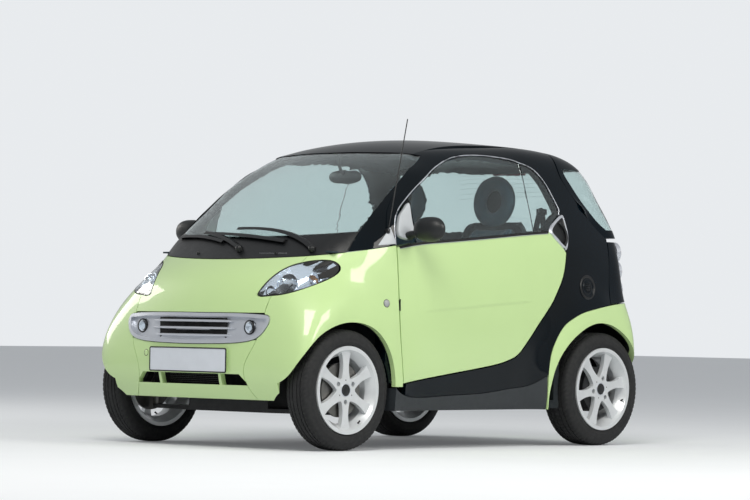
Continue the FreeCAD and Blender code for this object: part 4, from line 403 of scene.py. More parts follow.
# Finish, steps around, and (radius, reach along the axis)
LATHED = {
    "tow_cover": ("panels", 32, [(0.0, 0.0026), (0.008, 0.0024), (0.0125, 0.0014), (0.0142, 0.0003),
        (0.0142, -0.001)]),
    "tow_cover_gap": ("seal", 32, [(0.0142, 0.0006), (0.0158, 0.0008), (0.0162, -0.001), (0.0142, -0.001)]),
    "restraint_core_left": ("seal", 40, [(0.0, 0.010), (0.050, 0.012), (0.064, 0.010), (0.064, 0.020),
        (0.0, 0.020)]),
    "gear_gaiter": ("leather", 32, [(0.040, 0.0), (0.036, 0.020), (0.028, 0.032), (0.026, 0.044),
        (0.018, 0.054), (0.015, 0.066), (0.008, 0.072)]),
    "gear_knob": ("leather", 32, [(0.010, -0.030), (0.015, -0.024), (0.021, -0.006), (0.024, 0.010),
        (0.021, 0.022), (0.012, 0.029), (0.0, 0.031)]),
    "rear_wiper_pivot": ("trim", 32, [(0.0, 0.022), (0.012, 0.021), (0.018, 0.014), (0.020, -0.006)]),
    "fog_lamp_ring": ("trim", 48, [(0.0275, 0.001), (0.0285, 0.0042), (0.0325, 0.0035), (0.0345, 0.0),
        (0.0345, -0.004), (0.0275, -0.004)]),
    "fog_lamp_bowl": ("mirror", 48, [(0.0278, 0.0015), (0.0265, -0.002), (0.022, -0.010), (0.014, -0.016),
        (0.006, -0.018), (0.006, -0.022), (0.030, -0.022), (0.0315, 0.0)]),
    "fog_lamp_glass": ("lens", 40, [(0.0, 0.0058), (0.010, 0.0052), (0.019, 0.0036), (0.0268, 0.0012),
        (0.0268, -0.0004), (0.019, 0.0016), (0.010, 0.0032), (0.0, 0.0038)]),
    "fog_lamp_bulb": ("frost", 24, [(0.0, -0.004), (0.005, -0.006), (0.006, -0.010), (0.006, -0.020)]),
    "side_repeater": ("frost", 36, [(0.0, 0.0085), (0.006, 0.0080), (0.0125, 0.0060), (0.0165, 0.0030),
        (0.0175, 0.0008), (0.0175, -0.001)]),
    "repeater_base": ("seal", 36, [(0.0172, 0.0010), (0.0188, 0.0013), (0.0196, 0.0003), (0.0196, -0.001),
        (0.0172, -0.001)]),
    "round_cap_ring": ("trim", 64, [(0.049, 0.0012), (0.052, 0.0040), (0.056, 0.0052), (0.060, 0.0044),
        (0.063, 0.0016), (0.063, -0.004), (0.049, -0.004)]),
    "round_cap": ("cell", 64, [(0.0, 0.0030), (0.012, 0.0030), (0.014, 0.0018), (0.022, 0.0018),
        (0.024, 0.0034), (0.034, 0.0032), (0.036, 0.0018), (0.042, 0.0018), (0.044, 0.0030),
        (0.0478, 0.0020), (0.0478, -0.004)]),
    "wiper_pivot": ("trim", 32, [(0.0, 0.016), (0.009, 0.0155), (0.014, 0.012), (0.0165, 0.006),
        (0.017, -0.012)]),
    "washer_jet": ("trim", 20, [(0.0, 0.010), (0.004, 0.0095), (0.0075, 0.006), (0.009, 0.001),
        (0.009, -0.002)]),
    "round_pod": ("dash", 40, [(0.034, 0.006), (0.038, 0.004), (0.040, -0.004), (0.037, -0.024),
        (0.028, -0.040), (0.012, -0.050), (0.0, -0.052)]),
    "vent_ring": ("trim", 40, [(0.026, -0.010), (0.027, 0.004), (0.031, 0.010), (0.036, 0.009),
        (0.039, 0.002), (0.040, -0.010)]),
    "heater_knob": ("trim", 28, [(0.0, 0.018), (0.013, 0.018), (0.0155, 0.015), (0.0165, 0.004),
        (0.020, 0.0), (0.020, -0.004)]),
    "speaker_grille": ("trim", 48, [(0.0, 0.014), (0.020, 0.0138), (0.055, 0.0125), (0.068, 0.0105),
        (0.074, 0.009), (0.074, 0.0)]),
    "wheel_cap": ("trim", 48, [(0.0, 0.0035), (0.012, 0.0033), (0.0175, 0.0026), (0.0185, 0.0016),
        (0.0195, 0.0022), (0.0245, 0.0030), (0.0268, 0.0022), (0.0284, 0.0004), (0.0284, -0.0085)]),
    "wheel_cap_ring": ("silver", 48, [(0.0288, 0.0009), (0.0300, 0.0018), (0.0316, 0.0014), (0.0322, 0.0),
        (0.0322, -0.0008), (0.0288, -0.0008)]),
    "tyre_valve": ("seal", 16, [(0.0055, -0.004), (0.0052, 0.006), (0.0038, 0.012), (0.0036, 0.017),
        (0.0042, 0.018), (0.0042, 0.026), (0.0030, 0.027), (0.0, 0.027)]),
    "vent": ("zinc", 10, [(0.0, 0.0016), (0.0014, 0.0014), (0.0022, 0.0), (0.0022, -0.001)]),
    "lamp_bezel": ("silver", 56, [(0.0475, 0.004), (0.0490, 0.0075), (0.0520, 0.0080), (0.0545, 0.0055),
        (0.0550, -0.020), (0.0475, -0.020)]),
    "bolt": ("zinc", 18, [(0.0, 0.0015), (0.0045, 0.0015), (0.0052, 0.0052), (0.0072, 0.0058),
        (0.0080, 0.0045), (0.0092, 0.0008), (0.0105, 0.0004), (0.0108, -0.0005)]),
    "dimple": ("trim", 14, [(0.0, 0.0004), (0.0022, 0.0005), (0.0030, 0.0002), (0.0030, -0.001)]),
}

# Sections of swept strips, as (across, out)
SECTIONS = {
    "plate_frame": [(-0.0028, -0.003), (-0.0028, 0.001), (-0.0012, 0.0018), (0.0012, 0.0018),
        (0.0028, 0.001), (0.0028, -0.003)],
    "high_lamp": [(0.009, -0.004), (0.009, 0.004), (0.006, 0.0065), (-0.006, 0.0065), (-0.009, 0.004),
        (-0.009, -0.004)],
    "rear_wiper_arm": [(0.008, 0.0), (0.006, 0.005), (-0.006, 0.005), (-0.008, 0.0), (-0.006, -0.004),
        (0.006, -0.004)],
    "rear_wiper_blade": [(0.004, 0.004), (-0.004, 0.004), (-0.0015, -0.005), (0.0015, -0.005)],
    "grille_fin": [(-0.0062, 0.0), (-0.004, 0.0042), (0.0, 0.0052), (0.004, 0.0042), (0.0062, 0.0),
        (0.005, -0.010), (-0.005, -0.010)],
    "handle_grip": [(0.007, 0.0), (0.006, 0.003), (0.0, 0.0045), (-0.006, 0.003), (-0.007, 0.0),
        (-0.005, -0.003), (0.005, -0.003)],
    "wiper_rubber": [(0.0012, -0.0035), (0.003, 0.001), (0.003, 0.0035), (-0.003, 0.0035), (-0.003, 0.001),
        (-0.0012, -0.0035)],
    "belt_webbing": [(0.023, -0.0007), (0.023, 0.0007), (-0.023, 0.0007), (-0.023, -0.0007)],
    "steering_spoke": [(0.017, 0.0), (0.013, 0.006), (-0.013, 0.006), (-0.017, 0.0), (-0.013, -0.006),
        (0.013, -0.006)],
    "arm_rest": [(0.022, -0.024), (0.026, 0.004), (0.022, 0.018), (0.0, 0.024), (-0.020, 0.018),
        (-0.026, 0.0), (-0.022, -0.024)],
    "intake_bar": [(-0.001, -0.006), (-0.001, 0.006), (0.001, 0.006), (0.001, -0.006)],
}

# Raised forms: (share from the middle to the edge, rise)
RISES = {
    "headlamp_lens": [(0.02, 0.0), (0.3, 0.0), (0.6, 0.0), (0.85, 0.0), (0.975, 0.0), (0.985, -0.004),
        (0.85, -0.004), (0.6, -0.004), (0.3, -0.004), (0.02, -0.004)],
    "headlamp_bowl": [(0.01, -0.070), (0.25, -0.068), (0.5, -0.056), (0.7, -0.040), (0.85, -0.022),
        (0.93, -0.012), (0.968, -0.006), (0.975, -0.012), (0.93, -0.022), (0.7, -0.050), (0.4, -0.076),
        (0.01, -0.082)],
    "headlamp_seal": [(0.972, -0.012), (0.974, 0.0004), (0.985, 0.0012), (1.0, 0.0003), (1.0, -0.012)],
    "fender_triangle": [(0.02, 0.0022), (0.5, 0.0022), (0.9, 0.0022), (0.97, 0.0016), (1.0, -0.001)],
    "handle_ring": [(0.80, -0.002), (0.81, 0.0065), (0.86, 0.0090), (0.93, 0.0085), (0.985, 0.0050),
        (1.0, -0.002)],
    "handle_cup": [(0.02, 0.0012), (0.4, 0.0014), (0.65, 0.0024), (0.78, 0.0048), (0.815, 0.0060),
        (0.815, -0.002)],
    "mirror_sail": [(0.02, 0.0024), (0.5, 0.0024), (0.88, 0.0024), (0.97, 0.0016), (1.0, -0.001),
        (1.0, -0.018)],
    "door_card": [(0.02, 0.009), (0.3, 0.009), (0.6, 0.009), (0.85, 0.009), (0.96, 0.006), (1.0, -0.001)],
}

# Size, finish, edge radius and lean in degrees
MOULDED = {
    # The next two near-black pieces are partly painted shade: they darken the openings of the grille and the
    # intake.
    "grille_backing": ((0.46, 0.006, 0.10), "near_black_and_painted_shade", 0.004, 0.0),
    "intake_radiator": ((0.70, 0.020, 0.15), "near_black_and_painted_shade", 0.004, 0.0),
    "centre_stack": ((0.170, 0.060, 0.250), "trim", 0.016, -18.0),
    "stack_screen": ((0.140, 0.006, 0.046), "cell", 0.002, -18.0),
    "tunnel_console": ((0.120, 0.420, 0.070), "trim", 0.020, 0.0),
    "seat_runner": ((0.040, 0.330, 0.022), "chassis", 0.004, 0.0),
    "seat_leg": ((0.030, 0.26, 0.030), "chassis", 0.004, 0.0),
    "belt_guide": ((0.016, 0.070, 0.030), "trim", 0.007, 0.0),
    "belt_tongue": ((0.010, 0.052, 0.046), "zinc", 0.004, 0.0),
    "belt_reel": ((0.050, 0.070, 0.110), "trim", 0.010, 0.0),
    "belt_anchor": ((0.012, 0.050, 0.030), "trim", 0.005, 0.0),
    "belt_buckle": ((0.026, 0.045, 0.080), "trim", 0.008, -18.0),
    "buckle_button": ((0.016, 0.030, 0.008), "red", 0.003, -18.0),
    "pedal": ((0.050, 0.012, 0.060), "seal", 0.004, -35.0),
}

# Making meshes

TREES = {}


def tree_of(node):
    """The surface of a CAD node, for setting pieces on it."""
    if node not in TREES:
        mesh = NODES[node].data
        TREES[node] = BVHTree.FromPolygons([v.co for v in mesh.vertices], [p.vertices for p in mesh.polygons])
    return TREES[node]


def seat_on(nodes, start, aim):
    """The nearest point and outward normal where a line from start along aim meets the nodes."""
    best = None
    for node in nodes:
        spot, normal, _, gap = tree_of(node).ray_cast(start, aim)
        if spot is not None and (best is None or gap < best[2]):
            best = (spot, normal if normal.dot(aim) < 0 else -normal, gap)
    return best


def nearest_on(nodes, spot, aim):
    """The nearest point of the nodes to a spot, with its normal turned against aim."""
    found = min((tree_of(node).find_nearest(spot) for node in nodes), key=lambda f: f[3])
    return found[0], found[1] if found[1].dot(aim) < 0 else -found[1]


def from_side(nodes, y, z, side, deepest=0.55):
    """The point of the outer skin at y and z, seen from one side. Over a gap it is the nearest edge."""
    aim = Vector((-side, 0.0, 0.0))
    found = seat_on(nodes, Vector((side * 1.2, y, z)), aim)
    if found is None or abs(found[0].x) < deepest:
        return nearest_on(nodes, Vector((side * 0.70, y, z)), aim)
    return found[0], found[1]


def from_front(nodes, x, z):
    found = seat_on(nodes, Vector((x, -2.0, z)), REARWARD)
    if found is None:
        return nearest_on(nodes, Vector((x, -1.1, z)), REARWARD)
    return found[0], found[1]


def piece(name, points, faces, material, body, sharp=35.0):
    """A mesh object in place, with its finish, riding on a body."""
    mesh = bpy.data.meshes.new(name)
    mesh.from_pydata([tuple(p) for p in points], [], faces)
    shape = bmesh.new()
    shape.from_mesh(mesh)
    bmesh.ops.remove_doubles(shape, verts=shape.verts, dist=1e-6)
    bmesh.ops.recalc_face_normals(shape, faces=shape.faces)
    shape.to_mesh(mesh)
    shape.free()
    mesh.shade_smooth()
    mesh.set_sharp_from_angle(angle=math.radians(sharp))
    thing = bpy.data.objects.new(name, mesh)
    bpy.context.scene.collection.objects.link(thing)
    if material is not None:
        mesh.materials.append(M[material] if isinstance(material, str) else material)
    if body is not None:
        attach(thing, body)
    return thing


def grid_faces(rows, columns, closed_rows=False, closed_columns=False):
    faces = []
    for r in range(rows if closed_rows else rows - 1):
        for c in range(columns if closed_columns else columns - 1):
            r2 = (r + 1) % rows
            c2 = (c + 1) % columns
            faces.append((r * columns + c, r * columns + c2, r2 * columns + c2, r2 * columns + c))
    return faces


def loft(name, rings, material, body, closed=True, caps=True, loop=False, sharp=35.0):
    """A skin over rings of points. Closed rings, capped ends, or a loop of rings."""
    points = [p for ring in rings for p in ring]
    count = len(rings[0])
    faces = grid_faces(len(rings), count, loop, closed)
    if caps and closed and not loop:
        faces.append(tuple(range(count)))
        faces.append(tuple(range((len(rings) - 1) * count, len(rings) * count)))
    return piece(name, points, faces, material, body, sharp)


def turned(name, profile, centre, axis, material, body, steps=48, sharp=35.0):
    """A lathe shape from (radius, reach along the axis)."""
    axis = Vector(axis).normalized()
    side = axis.orthogonal().normalized()
    other = axis.cross(side)
    rings = []
    for radius, reach in profile:
        ring = []
        for i in range(steps):
            angle = 2 * math.pi * i / steps
            out = side * math.cos(angle) + other * math.sin(angle)
            ring.append(Vector(centre) + axis * reach + out * radius)
        rings.append(ring)
    return loft(name, rings, material, body, sharp=sharp)


def smooth_run(points, steps=8, closed=False):
    """A Catmull-Rom run through the points."""
    points = [Vector(p) for p in points]
    count = len(points)
    out = []
    spans = count if closed else count - 1
    for i in range(spans):
        if closed:
            a, b, c, d = (points[(i + k) % count] for k in (-1, 0, 1, 2))
        else:
            a, b, c, d = points[max(i - 1, 0)], points[i], points[i + 1], points[min(i + 2, count - 1)]
        for k in range(steps):
            t = k / steps
            out.append(0.5 * ((2 * b) + (c - a) * t + (2 * a - 5 * b + 4 * c - d) * t * t
                              + (3 * b - a - 3 * c + d) * t ** 3))
    if not closed:
        out.append(points[-1])
    return out


def swept(name, path, section, material, body, normals=None, closed=False, scales=None, sharp=40.0):
    """A section of (across, out) along a path. Out follows the normals, or turns as little as it can."""
    path = [Vector(p) for p in path]
    count = len(path)
    rings = []
    out = None
    for i, p in enumerate(path):
        before = path[(i - 1) % count] if closed or i else p
        after = path[(i + 1) % count] if closed or i < count - 1 else p
        along = (after - before).normalized()
        if normals is not None:
            out = normals[i]
        elif out is None:
            out = along.orthogonal()
        out = (out - along * out.dot(along)).normalized()
        across = along.cross(out)
        scale = scales[i] if scales else 1.0
        rings.append([p + across * a * scale + out * b * scale for a, b in section])
    return loft(name, rings, material, body, loop=closed, sharp=sharp)


def flat_run(pairs, steps, closed=False):
    """A smooth run through pairs of one view."""
    return smooth_run([(a, b, 0.0) for a, b in pairs], steps, closed)


def outline(pairs, steps=4):
    """A smooth closed outline through pairs of one view, as pairs."""
    return [(p.x, p.y) for p in flat_run(pairs, steps, True)]


def round_section(radius, sides=8):
    return [(radius * math.cos(2 * math.pi * i / sides), radius * math.sin(2 * math.pi * i / sides))
            for i in range(sides)]


def strip_section(width, height, sunk=0.001):
    """A low moulding: flat foot under the surface, rounded shoulders."""
    half = width / 2
    return [(half, -sunk), (half, height * 0.45), (half * 0.72, height * 0.86), (half * 0.3, height),
            (-half * 0.3, height), (-half * 0.72, height * 0.86), (-half, height * 0.45), (-half, -sunk)]


def pad(name, loop, spot, heights, material, body, sharp=35.0, hole=None):
    """A raised form over a loop on a surface. spot(a, b) gives the point and normal there, and heights lists
    (share from the middle to the edge, rise). With a hole share, the middle stays open."""
    middle = (sum(p[0] for p in loop) / len(loop), sum(p[1] for p in loop) / len(loop))
    rings = []
    for share, rise in heights:
        ring = []
        for a, b in loop:
            point, normal = spot(middle[0] + (a - middle[0]) * share, middle[1] + (b - middle[1]) * share)
            ring.append(point + normal * rise)
        rings.append(ring)
    return loft(name, rings, material, body, caps=hole is None, loop=hole is not None, sharp=sharp)


def block(name, size, centre, material, body, bevel=0.004, turn=None, taper=1.0):
    """A moulded block with rounded edges, its top narrowed by a taper."""
    shape = bmesh.new()
    bmesh.ops.create_cube(shape, size=1.0)
    for v in shape.verts:
        narrow = taper if v.co.z > 0 else 1.0
        v.co = Vector((v.co.x * size[0] * narrow, v.co.y * size[1] * narrow, v.co.z * size[2]))
    bmesh.ops.bevel(shape, geom=shape.edges[:], offset=min(bevel, min(size) * 0.45), segments=3, profile=0.6,
                    affect="EDGES")
    mesh = bpy.data.meshes.new(name)
    shape.to_mesh(mesh)
    shape.free()
    move = Matrix.Translation(Vector(centre))
    if turn is not None:
        move = move @ turn.to_4x4()
    mesh.transform(move)
    mesh.shade_smooth()
    mesh.set_sharp_from_angle(angle=math.radians(50.0))
    thing = bpy.data.objects.new(name, mesh)
    bpy.context.scene.collection.objects.link(thing)
    mesh.materials.append(M[material])
    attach(thing, body)
    return thing


def lathed(key, centre, axis, body, tag="", sharp=35.0):
    """A shape of the lathe table, named for its key and a tag."""
    material, steps, profile = LATHED[key]
    return turned(key + tag, profile, centre, axis, material, body, steps, sharp)


def moulded(key, centre, body, tag=""):
    """A shape of the moulded table, named for its key and a tag."""
    size, material, bevel, lean = MOULDED[key]
    turn = tipped(lean) if lean else None
    return block(key + tag, size, centre, material, body, bevel, turn)


def thickened(thing, thickness, offset):
    """Gives a sheet its wall."""
    wall = thing.modifiers.new("wall", "SOLIDIFY")
    wall.thickness = thickness
    wall.offset = offset
    return wall


def tipped(degrees):
    """A turn about the car's cross axis."""
    return Matrix.Rotation(math.radians(degrees), 3, "X")


def joined(name, things):
    """Several pieces of one finish as one object on their body."""
    body = things[0]["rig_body"]
    shape = bmesh.new()
    for thing in things:
        shape.from_mesh(thing.data)
    mesh = things[0].data.copy()
    mesh.name = name
    shape.to_mesh(mesh)
    shape.free()
    keep = bpy.data.objects.new(name, mesh)
    bpy.context.scene.collection.objects.link(keep)
    for thing in things:
        bpy.data.objects.remove(thing)
    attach(keep, body)
    return keep


# Finishes of the parts that keep their own shape

FINISH = {
    "panels": ("bonnet", "front_bumper", "wing_left", "wing_right", "door_left", "door_right",
               "rear_arch_left",
               "rear_arch_right", "rear_bumper"),
    "cell": ("cell_left", "cell_right", "roof_panel", "hatch_frame", "lamp_housing_left",
             "lamp_housing_right",
             "tailgate_flap"),
    "glass": ("windscreen", "door_glass_left", "door_glass_right", "quarter_glass_left",
              "quarter_glass_right",
              "hatch_glass"),
    "trim": ("cowl", "aerial", "wipers"),
    "silver": ("grille",),
    "frost": ("fog_lamps",),
    "mirror_shell": ("mirror_left", "mirror_right"),
    "sill": ("sill_cover_left", "sill_cover_right"),
    "wheels": ("front_rim_left", "front_rim_right", "rear_rim_left", "rear_rim_right"),
    "iron": ("knuckle_left", "knuckle_right"),
    "chassis": ("front_axle", "rear_axle", "front_carrier", "rear_carrier", "steering_column"),
    "alloy": ("engine_block",),
    "stainless": ("exhaust",),
    "plate": ("front_plate",),
    "tail": ("tail_lamps",),
    "dash": ("dashboard",),
    "carpet": ("floor_pan",),
    "leather": ("steering_wheel",),
    "lens": ("headlamp_left", "headlamp_right"),
    "rubber": ("front_tyre_left", "front_tyre_right", "rear_tyre_left", "rear_tyre_right"),
    "fabric": ("seat_left", "seat_right"),
}


class MICROCAR_OT_finishes(Operator):
    """Give every carried-over part its paint, plastic, glass or metal"""
    bl_idname = "microcar.finishes"
    bl_label = "Finishes"

    def execute(self, context):
        make_paints(context.scene.microcar_paint)
        make_clear_and_mirrored()
        make_rubber_and_fabric(context.scene.microcar_cabin)
        make_moulded_and_metal()
        done = set()
        for key, names in FINISH.items():
            for name in names:
                mesh = NODES[name].data
                mesh.materials.clear()
                mesh.materials.append(M[key])
                done.add(name)
        left = sorted(set(NODES) - done)
        if left:
            raise RuntimeError(f"no finish for {left}")
        return {"FINISHED"}


# Tyres and wheel fittings

AXLES = {"front": (-0.888, 0.636, 0.145, 0.0), "rear": (0.924, 0.663, 0.172, 41.0)}
WHEEL_Z = 0.285
TYRE_R = 0.285
TREAD_CROWN = 0.002
BLOCK_SLANT = 0.012
STEPS_PER_BLOCK = 4
FULL_DEPTH = 2.0
SIPE_SHARE = 0.7
TREAD_SHOULDER = 0.026


def tyre_section(width):
    """Half a tyre from bead to middle, as (x, radius, share of tread depth, share of rib height)."""
    half = width / 2
    wall = [(half - 0.0103, 0.1965), (half - 0.0103, 0.2073), (half - 0.0040, 0.2160),
            (half - 0.0015, 0.2235), (half - 0.0010, 0.2245), (half - 0.0003, 0.2260), (half, 0.2290),
            (half, 0.2345), (half - 0.0002, 0.2400), (half - 0.0007, 0.2410), (half - 0.0016, 0.2470),
            (half - 0.0031, 0.2540), (half - 0.0042, 0.2580)]
    ribs = (0, 0, 0, 0, 1, 1, 0, 0, 0, 1, 1, 0, 0)
    run = [(x, r, 0.0, rib) for (x, r), rib in zip(wall, ribs)]
    run += [(half - 0.0072, 0.2668, 0.0, 0), (half - 0.0112, 0.2745, 0.75, 0),
            (half - 0.0170, 0.2796, 1.0, 0),
            (half - 0.0260, 0.2828, 1.0, 0)]
    inner = half - TREAD_SHOULDER
    for share, depth in ((0.86, 0.8), (0.78, 0.8), (0.775, 2.0), (0.68, 2.0), (0.675, 0.6), (0.5, 0.6),
                         (0.34, 0.6),
                         (0.335, 2.0), (0.24, 2.0), (0.235, 0.5), (0.12, 0.5)):
        x = inner * share
        run.append((x, TYRE_R - TREAD_CROWN * (x / inner) ** 2, depth, 0))
    return run


class MICROCAR_OT_tyres(Operator):
    """Build the four tyres with cut tread and ribbed sidewalls"""
    bl_idname = "microcar.tyres"
    bl_label = "Tyres"

    def execute(self, context):
        sizes = context.scene.microcar_tyres
        for end, (axle_y, wheel_x, width, _) in AXLES.items():
            run = tyre_section(width)
            full = run + [(-x, r, d, b) for x, r, d, b in reversed(run)]
            steps = sizes.blocks * STEPS_PER_BLOCK
            for hand, side in SIDES:
                rings = []
                for i in range(steps):
                    ring = []
                    for x, r, depth, rib in full:
                        slant = round(abs(x) / BLOCK_SLANT)
                        phase = (i + slant) % STEPS_PER_BLOCK
                        cut = 0.0
                        if depth >= FULL_DEPTH:
                            cut = sizes.groove
                        elif depth and phase == 0:
                            cut = sizes.groove * depth * SIPE_SHARE
                        out = rib * sizes.rib * (1 if x > 0 else -1)
                        angle = 2 * math.pi * i / steps
                        reach = r - cut
                        edge = min(abs(x + out), width / 2) * (1 if x > 0 else -1)
                        ring.append(Vector(((wheel_x + edge) * side, axle_y + reach * math.cos(angle),
                                            WHEEL_Z + reach * math.sin(angle))))
                    rings.append(ring)
                tyre = loft(f"tyre_{end}_{hand}", rings, "rubber", f"{end}_wheel_{hand}", loop=True,
                            sharp=28.0)
                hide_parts(f"{end}_tyre_{hand}")
        return {"FINISHED"}


HUB_DEPTH = 0.017
BOLTS = 3
BOLT_CIRCLE = 0.056
BOLT_DEPTH = 0.011
DIMPLE_CIRCLE = 0.047
VALVE_CIRCLE = 0.182


class MICROCAR_OT_wheel_fittings(Operator):
    """Fit wheel bolts, centre caps, dimples and valves"""
    bl_idname = "microcar.wheel_fittings"
    bl_label = "Wheel fittings"

    def execute(self, context):
        for end, (axle_y, wheel_x, width, turn) in AXLES.items():
            face = width / 2 - HUB_DEPTH
            for hand, side in SIDES:
                body = f"{end}_wheel_{hand}"
                out = Vector((side, 0.0, 0.0))
                hub = Vector(((wheel_x + face) * side, axle_y, WHEEL_Z))
                lathed("wheel_cap", hub, out, body, f"_{end}_{hand}")
                lathed("wheel_cap_ring", hub, out, body, f"_{end}_{hand}")
                bolts = []
                for i in range(BOLTS):
                    angle = math.radians(30.0 + 360.0 / BOLTS * i + turn)
                    at = hub + Vector((-BOLT_DEPTH * side, BOLT_CIRCLE * math.cos(angle),
                                       BOLT_CIRCLE * math.sin(angle)))
                    bolts.append(lathed("bolt", at, out, body, f"_{end}_{hand}_{i}", sharp=25.0))
                joined(f"wheel_bolts_{end}_{hand}", bolts)
                dimples = []
                for i in range(BOLTS):
                    angle = math.radians(90.0 + 360.0 / BOLTS * i + turn)
                    at = hub + Vector((0.0, DIMPLE_CIRCLE * math.cos(angle), DIMPLE_CIRCLE * math.sin(angle)))
                    dimples.append(lathed("dimple", at, out, body, f"_{end}_{hand}_{i}"))
                joined(f"wheel_dimples_{end}_{hand}", dimples)
                angle = math.radians(-60.0 + turn)
                rim = width / 2 - 0.024
                foot = Vector(((wheel_x + rim) * side, axle_y + VALVE_CIRCLE * math.cos(angle),
                               WHEEL_Z + VALVE_CIRCLE * math.sin(angle)))
                lean = Vector((side * 0.8, -0.6 * math.cos(angle), -0.6 * math.sin(angle)))
                lathed("tyre_valve", foot, lean, body, f"_{end}_{hand}")
        return {"FINISHED"}


# Lamps of the nose

HEADLAMP = [(0.366, 0.730), (0.380, 0.772), (0.399, 0.814), (0.433, 0.858), (0.488, 0.883), (0.542, 0.893),
            (0.583, 0.889), (0.612, 0.866), (0.623, 0.832), (0.612, 0.792), (0.580, 0.759), (0.533, 0.736),
            (0.470, 0.724), (0.413, 0.719), (0.380, 0.720)]
# Lamp, x, z and radius
LAMP_CUPS = (("main", 0.490, 0.800, 0.050), ("turn", 0.575, 0.826, 0.030), ("side", 0.417, 0.762, 0.026))
LAMP_CUP_DEPTH = 0.045


class MICROCAR_OT_headlamps(Operator):
    """Build the headlamps: clear cover, mirrored bowl, lamp shades and seal"""
    bl_idname = "microcar.headlamps"
    bl_label = "Headlamps"

    def execute(self, context):
        for hand, side in SIDES:
            node = f"headlamp_{hand}"
            loop = outline([(x * side, z) for x, z in HEADLAMP])

            def spot(x, z, node=node):
                found = seat_on([node], Vector((x, -2.0, z)), REARWARD)
                if found is None:
                    near = tree_of(node).find_nearest(Vector((x, -1.0, z)))
                    return near[0], AHEAD
                return found[0], found[1]

            lens = pad(f"headlamp_lens_{hand}", loop, spot, RISES["headlamp_lens"], "lens", "body", hole=0.0)
            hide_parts(node)
            pad(f"headlamp_bowl_{hand}", loop, spot, RISES["headlamp_bowl"],
                "mirror", "body", hole=0.0)
            pad(f"headlamp_seal_{hand}", loop, spot, RISES["headlamp_seal"], "seal", "body",
                hole=0.0)
            for label, x, z, radius in LAMP_CUPS:
                at, normal = spot(x * side, z)
                aim = (normal * 0.5 + Vector((side * 0.12, -1.0, 0.0))).normalized()
                centre = at - normal * LAMP_CUP_DEPTH
                turned(f"headlamp_{label}_cup_{hand}", [
                    (radius * 0.28, -0.006), (radius * 0.62, 0.002), (radius * 0.88, 0.014), (radius, 0.028),
                    (radius * 1.05, 0.028), (radius * 0.95, 0.012), (radius * 0.66, -0.006),
                    (radius * 0.28, -0.014)],
                    centre, aim, "mirror", "body", 40)
                turned(f"headlamp_{label}_bulb_{hand}", [
                    (0.0, 0.018), (radius * 0.14, 0.016), (radius * 0.2, 0.008), (radius * 0.2, -0.004),
                    (radius * 0.3, -0.006), (radius * 0.3, -0.012)], centre, aim,
                    "amber" if label == "turn" else "frost", "body", 24)
        return {"FINISHED"}


FOG_LAMP = (0.367, 0.572)
GRILLE_FINS = ((0.600, 0.275), (0.566, 0.285), (0.532, 0.270))
FIN_POINTS = 33
GRILLE_PEAK = (0.0, 0.622)
GRILLE_EDGE = (0.26, 0.566)
FIN_INSET = 0.004
TOW_COVER = (-0.305, 0.443)
PLATE_CORNER = 0.008
PLATE_EDGE = 0.001
PLATE_PROUD = 0.0006
CORNER_STEPS = 5
INTAKE_BARS = 5
INTAKE_LOW = 0.309
INTAKE_PITCH = 0.0088
INTAKE_DEPTH = 0.045
INTAKE_HALF = 0.19


